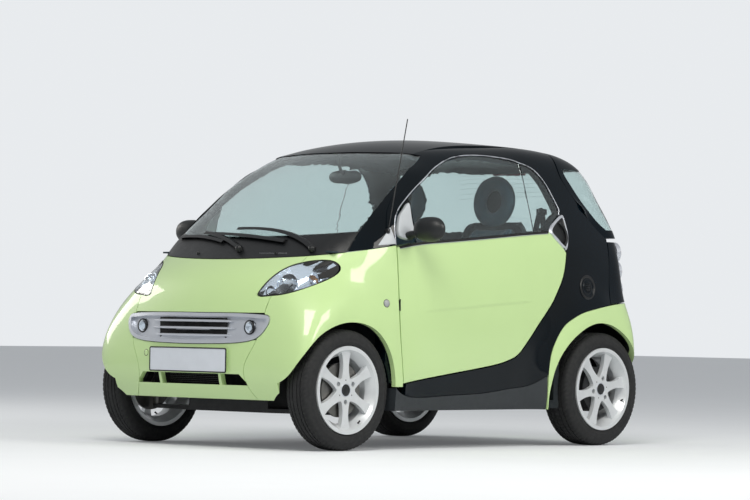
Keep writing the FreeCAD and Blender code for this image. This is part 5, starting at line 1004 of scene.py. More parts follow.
class MICROCAR_OT_nose_fittings(Operator):
    """Fit fog lamps, mesh behind the grille and intake with near-black backings that are partly painted
    shade, the tow cover and the blank plate's holder
    """
    bl_idname = "microcar.nose_fittings"
    bl_label = "Nose fittings"

    def execute(self, context):
        for hand, side in SIDES:
            at, _ = from_front(["fog_lamps"], FOG_LAMP[0] * side, FOG_LAMP[1])
            lathed("fog_lamp_ring", at, AHEAD, "body", f"_{hand}")
            bowl = lathed("fog_lamp_bowl", at, AHEAD, "body", f"_{hand}")
            if side > 0:
                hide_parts("fog_lamps")
            lathed("fog_lamp_glass", at, AHEAD, "body", f"_{hand}")
            lathed("fog_lamp_bulb", at, AHEAD, "body", f"_{hand}")
        low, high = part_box("grille")
        # Near-black backing behind the grille: a dark insert that is also painted shade inside the grille.
        moulded("grille_backing", (0.0, high.y - 0.06, 0.565), "body")
        peak, edge = (seat_on(["grille"], Vector((x, -2.0, z)), REARWARD)[0].y
                      for x, z in (GRILLE_PEAK, GRILLE_EDGE))
        for row, (z, half) in enumerate(GRILLE_FINS):
            run = []
            for k in range(FIN_POINTS):
                x = -half + 2 * half * k / (FIN_POINTS - 1)
                bow = (x / GRILLE_EDGE[0]) ** 2
                run.append(Vector((x, peak + (edge - peak) * bow - FIN_INSET, z)))
            swept(f"grille_fin_{row}", run, SECTIONS["grille_fin"], "silver", "body",
                  normals=[AHEAD] * FIN_POINTS,
                  scales=[0.15, 0.6] + [1.0] * (FIN_POINTS - 4) + [0.6, 0.15])
        at, normal = from_front(["front_bumper", "wing_right"], *TOW_COVER)
        lathed("tow_cover", at, normal, "body")
        lathed("tow_cover_gap", at, normal, "body")
        low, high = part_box("front_plate")
        inset = PLATE_CORNER - PLATE_EDGE
        rim = []
        for cx, cz, start in ((high.x - inset, high.z - inset, 0), (low.x + inset, high.z - inset, 90),
                              (low.x + inset, low.z + inset, 180), (high.x - inset, low.z + inset, 270)):
            for i in range(CORNER_STEPS):
                a = math.radians(start + 90.0 * i / (CORNER_STEPS - 1))
                rim.append(Vector((cx + PLATE_CORNER * math.cos(a), low.y - PLATE_PROUD,
                                   cz + PLATE_CORNER * math.sin(a))))
        swept("plate_frame", rim, SECTIONS["plate_frame"], "trim", "body",
              normals=[AHEAD] * len(rim), closed=True)
        nose = ["front_bumper", "front_carrier"]
        front = [seat_on(nose, Vector((x, -2.0, 0.29)), REARWARD)[0].y + INTAKE_DEPTH
                 for x in (-0.18, 0.0, 0.18)]
        bars = []
        for i in range(INTAKE_BARS):
            z = INTAKE_LOW + i * INTAKE_PITCH
            run = smooth_run([(x, y, z) for x, y in zip((-INTAKE_HALF, 0.0, INTAKE_HALF), front)], 6)
            bars.append(swept(f"intake_bar_{i}", run, SECTIONS["intake_bar"], "trim", "body",
                              normals=[AHEAD] * len(run)))
        joined("intake_grid", bars)
        # Near-black block behind the intake bars: a radiator coloured as the painted shade inside the intake.
        moulded("intake_radiator", (0.0, -1.130, 0.330), "body")
        return {"FINISHED"}


# Trims on the body sides

# Top of the window frame, where a thin silver strip is a painted highlight of the frame.
WINDOW = [(-0.548, 0.972), (-0.548, 1.010), (-0.541, 1.052), (-0.524, 1.094), (-0.498, 1.130),
          (-0.444, 1.180), (-0.380, 1.226), (-0.318, 1.266), (-0.256, 1.303), (-0.195, 1.338),
          (-0.130, 1.368), (-0.058, 1.395), (0.020, 1.412), (0.111, 1.421), (0.210, 1.423), (0.310, 1.419),
          (0.408, 1.408), (0.446, 1.398), (0.492, 1.387), (0.536, 1.367), (0.573, 1.333), (0.604, 1.292),
          (0.628, 1.247), (0.649, 1.204), (0.660, 1.172)]
BELT = [(-0.545, 0.966), (-0.400, 0.989), (-0.200, 1.006), (0.024, 1.025), (0.200, 1.041), (0.370, 1.056),
        (0.540, 1.069)]
HANDLE = [(0.681, 1.158), (0.640, 1.140), (0.590, 1.108), (0.556, 1.074), (0.578, 1.043), (0.618, 1.008),
          (0.655, 0.980), (0.672, 0.990), (0.688, 1.030), (0.696, 1.068), (0.694, 1.110), (0.690, 1.145)]


FENDER = [(-0.579, 1.059), (-0.667, 0.968), (-0.564, 0.978)]
REPEATER = (-0.636, 0.695)
ROUND_CAP = (0.819, 0.796)
BELT_DROP = 0.012
SEAL_RISE = 0.009
BRIGHT_DROP = 0.0075
CAP_RIBS = 5
RIB_PITCH = 0.0085
RIB_FIELD = 0.024


class MICROCAR_OT_side_trims(Operator):
    """Fit window seals, waist strips, a silver painted highlight along the top of each window frame,
    repeaters, the triangles by the mirrors and the round caps
    """
    bl_idname = "microcar.side_trims"
    bl_label = "Side trims"

    def execute(self, context):
        for hand, side in SIDES:
            door = [f"door_{hand}", f"door_glass_{hand}"]
            cell = [f"cell_{hand}"]
            run = flat_run(BELT, 6)
            spots = [from_side([f"door_{hand}"], p.x, p.y - BELT_DROP, side) for p in run]
            path = [s[0] + UP * SEAL_RISE for s in spots]
            swept(f"waist_seal_{hand}", path, strip_section(0.013, 0.0045, 0.004), "seal",
                  f"door_{hand}", normals=[s[1] for s in spots])
            swept(f"waist_bright_{hand}", [p - UP * BRIGHT_DROP for p in path],
                  strip_section(0.003, 0.0038, 0.003), "silver", f"door_{hand}",
                  normals=[s[1] for s in spots])
            # A thin silver strip along the top of the window frame is a painted highlight: it stands in for
            # the sky's reflection in the dark glossy frame.
            edge = flat_run(WINDOW, 6)
            spots = [from_side(cell, p.x, p.y, side, 0.45) for p in edge]
            swept(f"window_edge_{hand}", [s[0] for s in spots], strip_section(0.005, 0.002, 0.001), "silver",
                  "body", normals=[s[1] for s in spots])
            at, normal = from_side([f"wing_{hand}"], *REPEATER, side)
            lathed("side_repeater", at, normal, "body", f"_{hand}")
            lathed("repeater_base", at, normal, "body", f"_{hand}")

            def on_fender(y, z, side=side, hand=hand):
                return from_side([f"cell_{hand}", f"wing_{hand}", "windscreen"], y, z, side)

            loop = [(p.x, p.y) for k in range(3) for p in
                    [Vector(FENDER[k]).lerp(Vector(FENDER[(k + 1) % 3]), t / 8) for t in range(8)]]
            pad(f"fender_triangle_{hand}", loop, on_fender, RISES["fender_triangle"], "pale_trim", "body")

            at, normal = from_side([f"cell_{hand}", f"lamp_housing_{hand}"], *ROUND_CAP, side)
            lathed("round_cap_ring", at, normal, "body", f"_{hand}")
            lathed("round_cap", at, normal, "body", f"_{hand}")
            ribs = []
            tangent = (REARWARD - normal * REARWARD.dot(normal)).normalized()
            upward = normal.cross(tangent)
            for i in range(CAP_RIBS):
                lift = (i - CAP_RIBS // 2) * RIB_PITCH
                half = math.sqrt(max(RIB_FIELD ** 2 - lift ** 2, 0.0)) * 0.92
                middle = at + upward * lift + normal * 0.0034
                ribs.append(swept(f"cap_rib_{hand}_{i}", [
                    middle - tangent * half, middle + normal * 0.0006, middle + tangent * half],
                    round_section(0.0014, 6), "trim", "body"))
            joined(f"round_cap_ribs_{hand}", ribs)
        return {"FINISHED"}


GRIP = [(0.640, 1.118), (0.668, 1.092), (0.678, 1.060), (0.670, 1.026), (0.648, 1.004)]
GRIP_STANDOFF = 0.009


class MICROCAR_OT_handles(Operator):
    """Build the almond door handles: silver ring, dark cup and grip"""
    bl_idname = "microcar.handles"
    bl_label = "Door handles"

    def execute(self, context):
        for hand, side in SIDES:
            nodes = [f"door_{hand}", f"quarter_glass_{hand}", f"cell_{hand}"]
            loop = outline(HANDLE)

            def spot(y, z, nodes=nodes, side=side):
                point, normal = from_side(nodes, y, z, side)
                if abs(point.x) < 0.60:
                    near = tree_of(nodes[0]).find_nearest(Vector((side * 0.7, y, z)))
                    point = near[0]
                return point, Vector((side, 0.12, 0.18)).normalized()

            body = f"door_{hand}"
            pad(f"handle_ring_{hand}", loop, spot, RISES["handle_ring"],
                "silver", body, hole=0.0)
            pad(f"handle_cup_{hand}", loop, spot, RISES["handle_cup"],
                "trim", body)
            grip = flat_run(GRIP, 5)
            path = []
            for p in grip:
                point, normal = spot(p.x, p.y)
                path.append(point + normal * GRIP_STANDOFF)
            swept(f"handle_grip_{hand}", path, SECTIONS["handle_grip"],
                  "mirror_shell", body, normals=[Vector((side, 0.1, 0.15)).normalized()] * len(path),
                  scales=[0.4] + [1.0] * (len(path) - 2) + [0.4])
        return {"FINISHED"}


# Mirrors, wipers and the cowl

SAIL = [(-0.538, 1.020), (-0.514, 1.106), (-0.470, 1.150), (-0.432, 1.178), (-0.436, 1.100), (-0.446, 1.010)]
BLADES = ([(0.300, 0.985), (0.170, 1.000), (0.040, 1.012), (-0.095, 1.020), (-0.230, 1.025)],
          [(-0.090, 0.985), (-0.210, 1.000), (-0.330, 1.012), (-0.425, 1.013), (-0.520, 1.010)])


def superoval(half_a, half_b, power, count):
    """A rounded rectangle about the middle."""
    out = []
    for i in range(count):
        a = 2 * math.pi * i / count
        out.append((half_a * math.copysign(abs(math.cos(a)) ** (2 / power), math.cos(a)),
                    half_b * math.copysign(abs(math.sin(a)) ** (2 / power), math.sin(a))))
    return out


SAIL_CORNERS = ((-0.526, 1.040), (-0.447, 1.150), (-0.452, 1.035))
MIRROR_HEAD = (0.824, -0.4625, 1.050)
MIRROR_HALF_WIDTH = 0.095
MIRROR_HALF_HEIGHT = 0.059
MIRROR_BACK = 0.055
MIRROR_FRONT = 0.006
HOUSING_STEPS = 31


class MICROCAR_OT_mirrors(Operator):
    """Build the rounded mirror housings with their glass, and the pale sail panels"""
    bl_idname = "microcar.mirrors"
    bl_label = "Mirrors"

    def execute(self, context):
        for hand, side in SIDES:
            body = f"door_{hand}"
            node = f"mirror_{hand}"
            aim = Vector((-side, 0.0, 0.0))
            corners = [seat_on([node], Vector((side * 0.735, y, z)), aim)
                       for y, z in SAIL_CORNERS]
            corners = [found[0] for found in corners]
            normal = (corners[1] - corners[0]).cross(corners[2] - corners[0]).normalized()
            if normal.x * side < 0:
                normal = -normal

            def on_sail(y, z, corner=corners[0], normal=normal):
                x = corner.x - (normal.y * (y - corner.y) + normal.z * (z - corner.z)) / normal.x
                return Vector((x, y, z)), normal

            loop = outline(SAIL)
            pad(f"mirror_sail_{hand}", loop, on_sail, RISES["mirror_sail"],
                "pale_trim", body)
            head = Vector((side * MIRROR_HEAD[0], *MIRROR_HEAD[1:]))
            rings = []
            for i in range(HOUSING_STEPS):
                t = -math.cos(math.pi * i / (HOUSING_STEPS - 1))
                girth = max(1.0 - abs(t) ** 2.6, 0.0004) ** 0.5
                ring = []
                for a, b in superoval(1.0, 1.0, 2.3, 40):
                    deep = -(MIRROR_BACK if b > 0 else MIRROR_FRONT) * b
                    ring.append(head + Vector((MIRROR_HALF_WIDTH * t * side, deep * girth,
                                               MIRROR_HALF_HEIGHT * girth * a)))
                rings.append(ring)
            housing = loft(f"mirror_housing_{hand}", rings, "mirror_shell", body, sharp=70.0)
            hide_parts(node)
            foot, _ = on_sail(-0.474, 1.020)
            stalk = smooth_run([foot - normal * 0.010, foot + normal * 0.020,
                                foot + Vector((0.048 * side, 0.0, 0.010)),
                                head + Vector((-0.060 * side, -0.012, -0.016))], 5)
            swept(f"mirror_stalk_{hand}", stalk, [(0.024 * a, 0.016 * b) for a, b in
                                                       superoval(1.0, 1.0, 2.4, 20)], "mirror_shell", body,
                  normals=[UP] * len(stalk),
                  scales=[1.2 - 0.3 * i / (len(stalk) - 1) for i in range(len(stalk))])
            rim = superoval(0.081, 0.048, 2.5, 48)
            swept(f"mirror_rim_{hand}", [head + Vector((a * side, 0.0050, b)) for a, b in rim],
                  round_section(0.0032, 8), "trim", body, closed=True)
            rings = [[head + Vector((a * s * side, reach, b * s)) for a, b in rim]
                     for s, reach in ((0.01, 0.0068), (0.5, 0.0066), (0.97, 0.0062), (0.99, 0.0030))]
            loft(f"mirror_glass_{hand}", rings, "mirror_glass", body)
        return {"FINISHED"}


WIPER_PIVOTS = ((0.480, 0.948), (0.070, 0.948))
COWL_Z = 0.925
COWL_STUDS = 22
STUDS_FROM, STUDS_RUN = 0.205, 0.15
WASHER_JETS = (-0.22, 0.30)
RUBBER_RISE = 0.004


class MICROCAR_OT_wiper_fittings(Operator):
    """Fit wiper blades, pivot caps, the washer jet and the row of cowl vents"""
    bl_idname = "microcar.wiper_fittings"
    bl_label = "Wiper fittings"

    def execute(self, context):
        for number, run in enumerate(BLADES):
            spots = [from_front(["windscreen", "cowl"], p.x, p.y) for p in flat_run(run, 6)]
            path = [s[0] + s[1] * RUBBER_RISE for s in spots]
            swept(f"wiper_rubber_{number}", path, SECTIONS["wiper_rubber"],
                  "seal", "body", normals=[s[1] for s in spots])
        for number, (x, z) in enumerate(WIPER_PIVOTS):
            at, normal = from_front(["wipers", "cowl"], x, z)
            lathed("wiper_pivot", at, normal, "body", f"_{number}")
        vents = []
        for i in range(COWL_STUDS):
            x = STUDS_FROM + STUDS_RUN * (i / (COWL_STUDS - 1))
            at, normal = from_front(["cowl", "windscreen"], x, COWL_Z)
            vents.append(lathed("vent", at, normal, "body", f"_{i}"))
        joined("cowl_vent_studs", vents)
        for number, x in enumerate(WASHER_JETS):
            at, normal = from_front(["cowl", "bonnet"], x, COWL_Z)
            lathed("washer_jet", at, normal, "body", f"_{number}")
        return {"FINISHED"}


# The padded cabin

CUSHION_VOXEL = 0.0078
RING_VOXEL = 0.006
PRESSURE = 4.0
CLOTH_QUALITY = 4
CLOTH_FRAMES = 20


def stuffed(name, rings, material, swell, loop=False):
    """A cushion from its sections: remeshed, inflated as cloth with a capped swell, and smoothed."""
    thing = loft(name, rings, material, None, loop=loop, sharp=180.0)
    remesh = thing.modifiers.new("cloth_grid", "REMESH")
    remesh.mode = "VOXEL"
    remesh.voxel_size = RING_VOXEL if loop else CUSHION_VOXEL
    bpy.context.view_layer.objects.active = thing
    bpy.ops.object.modifier_apply(modifier=remesh.name)
    rest = [v.co.copy() for v in thing.data.vertices]
    cloth = thing.modifiers.new("stuffing", "CLOTH")
    cloth.settings.use_pressure = True
    cloth.settings.uniform_pressure_force = PRESSURE
    cloth.settings.quality = CLOTH_QUALITY
    cloth.settings.effector_weights.gravity = 0.0
    cloth.point_cache.frame_start = 1
    cloth.point_cache.frame_end = CLOTH_FRAMES
    scene = bpy.context.scene
    for step in range(1, CLOTH_FRAMES + 1):
        scene.frame_set(step)
    shaped = thing.evaluated_get(bpy.context.evaluated_depsgraph_get()).data
    moved = [v.co.copy() for v in shaped.vertices]
    thing.modifiers.remove(cloth)
    scene.frame_set(1)
    for v, was, now in zip(thing.data.vertices, rest, moved):
        step = now - was
        v.co = was + step * min(1.0, swell / max(step.length, 1e-9))
    finer = thing.modifiers.new("smooth_skin", "SUBSURF")
    finer.levels = 1
    finer.render_levels = 1
    bpy.ops.object.modifier_apply(modifier=finer.name)
    thing.data.shade_smooth()
    return thing


def sewn(thing, lines, depth, width):
    """Presses seams into a cushion: each line is a function of a point that is 0 on the seam."""
    mesh = thing.data
    normals = [v.normal.copy() for v in mesh.vertices]
    for v, normal in zip(mesh.vertices, normals):
        press = 0.0
        for line, where in lines:
            if where(v.co, normal):
                press = max(press, math.exp(-(line(v.co) / width) ** 2))
        v.co -= normal * depth * press
    mesh.update()


CUSHION = [(-0.108, 0.372, 0.060, 0.180), (-0.085, 0.378, 0.118, 0.205), (0.000, 0.372, 0.158, 0.212),
           (0.110, 0.362, 0.172, 0.212), (0.220, 0.352, 0.168, 0.210), (0.300, 0.350, 0.150, 0.205),
           (0.352, 0.355, 0.105, 0.190)]
BACK = [(0.425, 0.500, 0.080, 0.185), (0.455, 0.560, 0.085, 0.205), (0.485, 0.650, 0.088, 0.212),
        (0.512, 0.760, 0.090, 0.212), (0.538, 0.870, 0.090, 0.205), (0.560, 0.970, 0.084, 0.190),
        (0.574, 1.050, 0.070, 0.160), (0.580, 1.092, 0.045, 0.130)]


SEAT_X = 0.305
CHANNEL_HALF = 0.125
BACK_CHANNEL_HALF = 0.120
CUSHION_CHANNELS = (-0.03, 0.09, 0.21)
BACK_CHANNELS = (0.62, 0.76, 0.90)
SEAM_DEPTH = 0.005
SEAM_WIDTH = 0.006
RESTRAINT_Z = 1.222
RESTRAINT_Y = 0.573
RESTRAINT_RADIUS = 0.094
RESTRAINT_SWELL = 0.006
RESTRAINT_STEPS = 64
PIPING_RADIUS = 0.13
SHELL = [(-0.118, 0.360), (-0.100, 0.312), (0.050, 0.285), (0.275, 0.257), (0.425, 0.268), (0.462, 0.340),
         (0.532, 0.640), (0.600, 0.945), (0.611, 1.080), (0.606, 1.118)]
SHELL_COLUMNS = 25
SHELL_WALL = 0.006
RUNNERS = (0.155, 0.455)


class MICROCAR_OT_seats(Operator):
    """Pad the two seats: cushion, back with bolsters and ring head restraint on a moulded shell"""
    bl_idname = "microcar.seats"
    bl_label = "Seats"

    def execute(self, context):
        cabin = context.scene.microcar_cabin
        rings = []
        for y, z, deep, half in CUSHION:
            ring = []
            for a, b in superoval(half, deep / 2, 3.2, 56):
                crown = 0.020 * (abs(a) / half) ** 3 if b > 0 else 0.0
                ring.append(Vector((SEAT_X + a, y, z + b + crown - (0.0 if b > 0 else 0.004))))
            rings.append(ring)
        cushion = stuffed("seat_cushion_left", rings, "fabric", cabin.swell)
        rings = []
        for y, z, deep, half in BACK:
            ring = []
            for a, b in superoval(half, deep / 2, 3.0, 56):
                wing = 0.026 * (abs(a) / half) ** 3 if b < 0 else 0.0
                ring.append(Vector((SEAT_X + a, y + b * 0.97 - wing * 0.97, z - b * 0.22 + wing * 0.1)))
            rings.append(ring)
        back = stuffed("seat_back_left", rings, "fabric", cabin.swell)
        seams = [(lambda p: abs(p.x - SEAT_X) - CHANNEL_HALF, lambda p, n: n.z > 0.2)]
        for y in CUSHION_CHANNELS:
            seams.append((lambda p, y=y: p.y - y if abs(p.x - SEAT_X) < CHANNEL_HALF else 1.0,
                          lambda p, n: n.z > 0.2))
        sewn(cushion, seams, SEAM_DEPTH, SEAM_WIDTH)
        seams = [(lambda p: abs(p.x - SEAT_X) - BACK_CHANNEL_HALF, lambda p, n: n.y < -0.2)]
        for z in BACK_CHANNELS:
            seams.append((lambda p, z=z: p.z - z if abs(p.x - SEAT_X) < BACK_CHANNEL_HALF else 1.0,
                          lambda p, n: n.y < -0.2))
        sewn(back, seams, SEAM_DEPTH, SEAM_WIDTH)
        # The head restraint is a stuffed ring with piping around it and a plain disc inside.
        ring_rows = []
        lean = tipped(-6.0)
        centre = Vector((SEAT_X, RESTRAINT_Y, RESTRAINT_Z))
        seam = []
        for i in range(RESTRAINT_STEPS):
            a = 2 * math.pi * i / RESTRAINT_STEPS
            out = Vector((math.cos(a), 0.0, math.sin(a)))
            seam.append(centre + lean @ (out * PIPING_RADIUS))
            ring = []
            for c, d in superoval(0.037, 0.029, 2.4, 32):
                ring.append(centre + lean @ (out * (RESTRAINT_RADIUS + c) + REARWARD * d))
            ring_rows.append(ring)
        rest = stuffed("head_restraint_left", ring_rows, "fabric", RESTRAINT_SWELL, True)
        piping = swept("restraint_piping_left", seam, round_section(0.0022, 6), "seal", None, closed=True)
        core = lathed("restraint_core_left", centre, lean @ REARWARD, None)
        shell_rows = []
        outer = flat_run(SHELL, 5)
        for i, p in enumerate(outer):
            before, after = outer[max(i - 1, 0)], outer[min(i + 1, len(outer) - 1)]
            along = (after - before).normalized()
            inward = Vector((-along.y, along.x))
            high = max(0.0, (p.y - 0.95) / 0.17)
            half = 0.222 - 0.07 * high ** 2
            row = []
            for k in range(SHELL_COLUMNS):
                t = -1.0 + 2 * k / (SHELL_COLUMNS - 1)
                curl = 0.055 * max(0.0, (abs(t) - 0.80) / 0.20) ** 2
                row.append(Vector((SEAT_X + half * math.sin(t * math.pi / 2), p.x + inward.x * curl,
                                   p.y + inward.y * curl)))
            shell_rows.append(row)
        shell = loft("seat_shell_left", shell_rows, "sill", None, closed=False)
        wall = thickened(shell, SHELL_WALL, 1.0)
        bpy.context.view_layer.objects.active = shell
        bpy.ops.object.modifier_apply(modifier=wall.name)
        left = [cushion, back, rest, core, piping, shell]
        runners = []
        for x in RUNNERS:
            rail = moulded("seat_runner", (x, 0.145, 0.241), "body", f"_{x}")
            leg = moulded("seat_leg", (x, 0.150, 0.264), "body", f"_{x}")
            runners += [rail, leg]
        left.append(joined("seat_runners_left", runners))
        for thing in left:
            twin = thing.copy()
            twin.data = thing.data.copy()
            twin.name = thing.name.replace("_left", "_right")
            for v in twin.data.vertices:
                v.co.x = -v.co.x
            twin.data.flip_normals()
            twin.parent = None
            bpy.context.scene.collection.objects.link(twin)
            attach(thing, "body")
            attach(twin, "body")
        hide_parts("seat_left")
        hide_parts("seat_right")
        return {"FINISHED"}


BELT_PATH = ((0.572, 0.665, 0.560), (0.570, 0.660, 0.860), (0.566, 0.650, 1.120), (0.560, 0.640, 1.170),
             (0.555, 0.620, 1.120), (0.556, 0.560, 0.900), (0.566, 0.500, 0.560), (0.570, 0.480, 0.300))
BELT_GUIDE = 3
BUCKLE_STALK = ((0.062, 0.285, 0.235), (0.062, 0.288, 0.290), (0.062, 0.292, 0.370))


class MICROCAR_OT_belts(Operator):
    """Hang the seat belts from the side pillars, with guides and buckles"""
    bl_idname = "microcar.belts"
    bl_label = "Seat belts"

    def execute(self, context):
        for hand, side in SIDES:
            run = smooth_run([(x * side, y, z) for x, y, z in BELT_PATH], 8)
            top = Vector((BELT_PATH[BELT_GUIDE][0] * side, *BELT_PATH[BELT_GUIDE][1:]))
            swept(f"belt_webbing_{hand}", run, SECTIONS["belt_webbing"], "webbing", "body",
                  normals=[Vector((side, 0.1, 0.0)).normalized()] * len(run))
            moulded("belt_guide", top + Vector((0.004 * side, 0.0, 0.002)), "body", f"_{hand}")
            moulded("belt_tongue", (0.560 * side, 0.530, 0.700), "body", f"_{hand}")
            moulded("belt_reel", (0.572 * side, 0.668, 0.520), "body", f"_{hand}")
            moulded("belt_anchor", (0.574 * side, 0.480, 0.290), "body", f"_{hand}")
            moulded("belt_buckle", (0.062 * side, 0.300, 0.400), "body", f"_{hand}")
            moulded("buckle_button", (0.062 * side, 0.313, 0.440), "body", f"_{hand}")
            swept(f"buckle_stalk_{hand}", [(x * side, y, z) for x, y, z in BUCKLE_STALK],
                  round_section(0.008, 8), "chassis", "body")
        return {"FINISHED"}


DECK_Z = 0.942
DECK_HALF = 0.585
DECK_FROM, DECK_DEPTH = -0.480, 0.40
DECK_ROWS, DECK_COLUMNS = 26, 41
DECK_CLEARANCE = 0.030
DASH_FACE = [(-0.560, 0.944), (-0.430, 0.948), (-0.360, 0.925), (-0.315, 0.880), (-0.305, 0.820),
             (-0.330, 0.760), (-0.380, 0.690), (-0.420, 0.664), (-0.500, 0.664)]
DASH_HALF = 0.596
DASH_COLUMNS = 61
DASH_BOW = 0.010
HOOD_RINGS, HOOD_STEPS = 13, 25
DIAL = (0.305, -0.352, 0.975)
DIAL_RADIUS = 0.062
DIAL_TICKS = 21
PODS = (-0.045, 0.055)
POD_RADIUS = 0.034
AIR_VENTS = (-0.500, -0.130, 0.130, 0.515)
SLATS = 5
SLAT_PITCH = 0.0095
SLAT_FIELD = 0.0255
KNOBS = (-0.050, 0.0, 0.050)
PEDALS = (0.215, 0.300, 0.385)
HANDBRAKE = ((0.0, 0.130, 0.290), (0.0, 0.060, 0.330), (0.0, -0.010, 0.352))
HANDBRAKE_GIRTH = [1.0, 1.0, 0.8, 0.8, 0.9, 1.05, 1.1, 1.1, 1.1, 1.1, 0.7]


class MICROCAR_OT_dashboard(Operator):
    """Cover the dashboard and add its deck, dials, round vents, console and gear lever"""
    bl_idname = "microcar.dashboard"
    bl_label = "Dashboard"

    def execute(self, context):
        rows = []
        for i in range(DECK_ROWS):
            y = DECK_FROM - DECK_DEPTH * (i / (DECK_ROWS - 1))
            row = []
            for k in range(DECK_COLUMNS):
                x = -DECK_HALF + 2 * DECK_HALF * k / (DECK_COLUMNS - 1)
                hit = seat_on(["windscreen"], Vector((x, y, 0.70)), UP)
                roof = hit[0].z - DECK_CLEARANCE if hit else DECK_Z
                row.append(Vector((x, y, min(DECK_Z + 0.006 * math.cos(x * 5), roof))))
            rows.append(row)
        deck = loft("dash_deck", rows, "dash", "body", closed=False)
        thickened(deck, 0.008, -1.0)
        path = flat_run(DASH_FACE, 6)
        rows = []
        for k in range(DASH_COLUMNS):
            x = -DASH_HALF + 2 * DASH_HALF * k / (DASH_COLUMNS - 1)
            swell = DASH_BOW * math.cos(x / 0.6 * math.pi / 2)
            rows.append([Vector((x, p.x + swell, p.y + 0.3 * swell)) for p in path])
        cover = loft("dash_cover", rows, "dash", "body", closed=False)
        thickened(cover, 0.005, 1.0)
        # Hood and dial behind the steering wheel.
        hood = []
        for i in range(HOOD_RINGS):
            t = i / (HOOD_RINGS - 1)
            half = 0.115 - 0.030 * t * t
            rise = 0.090 * (1 - t * t) ** 0.5 + 0.004
            hood.append([Vector((0.305 + half * math.cos(a), -0.325 - 0.17 * t, 0.938 + rise * math.sin(a)))
                         for a in [math.pi * k / (HOOD_STEPS - 1) for k in range(HOOD_STEPS)]])
        loft("dial_hood", hood, "dash", "body", closed=False)
        aim = Vector((0.0, 0.93, 0.36)).normalized()
        self.dial("speed", Vector(DIAL), aim, DIAL_RADIUS)
        for number, x in enumerate(PODS):
            at = Vector((x, -0.372, 0.968))
            lathed("round_pod", at, aim, "body", f"_{number}")
            self.dial(f"pod_{number}", at + aim * 0.001, aim, POD_RADIUS)
        for number, x in enumerate(AIR_VENTS):
            at = Vector((x, -0.300, 0.870))
            out = Vector((0.0, 0.98, 0.18)).normalized()
            lathed("vent_ring", at, out, "body", f"_{number}")
            slats = []
            for k in range(SLATS):
                z = (k - SLATS // 2) * SLAT_PITCH
                half = math.sqrt(SLAT_FIELD ** 2 - z * z)
                slats.append(block(f"slat_{number}_{k}", (2 * half, 0.014, 0.0016),
                                   at + Vector((0.0, -0.001, z)),
                                   "trim", "body", 0.0006, tipped(14.0)))
            joined(f"vent_slats_{number}", slats)
        moulded("centre_stack", (0.0, -0.330, 0.740), "body")
        moulded("stack_screen", (0.0, -0.302, 0.790), "body")
        for number, x in enumerate(KNOBS):
            lathed("heater_knob", (x, -0.318, 0.712), (0.0, 0.95, 0.31), "body", f"_{number}")
        moulded("tunnel_console", (0.0, -0.110, 0.265), "body")
        lathed("gear_gaiter", (0.0, -0.140, 0.296), (0.0, -0.1, 1.0), "body")
        swept("gear_stick", [(0.0, -0.142, 0.330), (0.0, -0.146, 0.390), (0.0, -0.150, 0.440)],
              round_section(0.006, 10), "zinc", "body")
        lathed("gear_knob", (0.0, -0.151, 0.452), (0.0, -0.1, 1.0), "body")
        swept("handbrake", smooth_run(HANDBRAKE, 5),
              round_section(0.013, 12), "leather", "body", scales=HANDBRAKE_GIRTH)
        for number, x in enumerate(PEDALS):
            moulded("pedal", (x, -0.455, 0.330), "body", f"_{number}")
            swept(f"pedal_arm_{number}", smooth_run([(x, -0.458, 0.345), (x, -0.490, 0.470),
                                                     (x, -0.490, 0.640)], 5),
                  round_section(0.006, 8), "chassis", "body")
        return {"FINISHED"}

    def dial(self, name, at, aim, radius):
        """A round face with plain tick marks, a pointer and a silver rim."""
        turned(f"dial_face_{name}", [(0.0, 0.0), (radius * 0.96, 0.0), (radius, 0.001), (radius, -0.004)], at,
               aim,
               "frost", "body", 48)
        turned(f"dial_rim_{name}", [(radius * 0.97, 0.0), (radius * 0.985, 0.004), (radius * 1.04, 0.004),
                                    (radius * 1.05, -0.003)], at, aim, "silver", "body", 48)
        rise = ACROSS.cross(aim)
        ticks = []
        for i in range(DIAL_TICKS):
            a = math.radians(-45 + 270 * i / (DIAL_TICKS - 1))
            out = ACROSS * math.cos(a) + rise * math.sin(a)
            ticks.append(swept(f"tick_{name}_{i}",
                               [at + out * radius * (0.78 if i % 2 else 0.70) + aim * 0.0006,
                                                    at + out * radius * 0.90 + aim * 0.0006],
                               round_section(radius * 0.012, 5), "trim", "body"))
        joined(f"dial_ticks_{name}", ticks)
        a = math.radians(215)
        out = ACROSS * math.cos(a) + rise * math.sin(a)
        swept(f"dial_pointer_{name}", [at - out * radius * 0.12 + aim * 0.002,
                                       at + out * radius * 0.75 + aim * 0.002],
              round_section(radius * 0.022, 6), "red", "body", scales=[1.2, 0.4])


WHEEL_TILT = 27.0
WHEEL_CENTRE = (0.305, -0.190, 0.800)
RIM_RADIUS = 0.185
RIM_STEPS = 96
GRIP_SWELL = 0.12
RIM_SECTION = [(0.0125 * math.cos(math.pi * k / 9), 0.0135 * math.sin(math.pi * k / 9)) for k in range(18)]
# Share of the cover's outline and height above the rim's plane
COVER = ((0.01, 0.016), (0.4, 0.015), (0.7, 0.011), (0.88, 0.004), (0.97, -0.006), (1.0, -0.016),
         (0.9, -0.034),
         (0.5, -0.040), (0.01, -0.041))
SPOKES = (8.0, 172.0, 270.0)
STALK_GIRTH = [0.8, 0.8, 0.8, 0.85, 0.9, 1.0, 1.1, 1.2, 1.3, 1.3, 0.8]


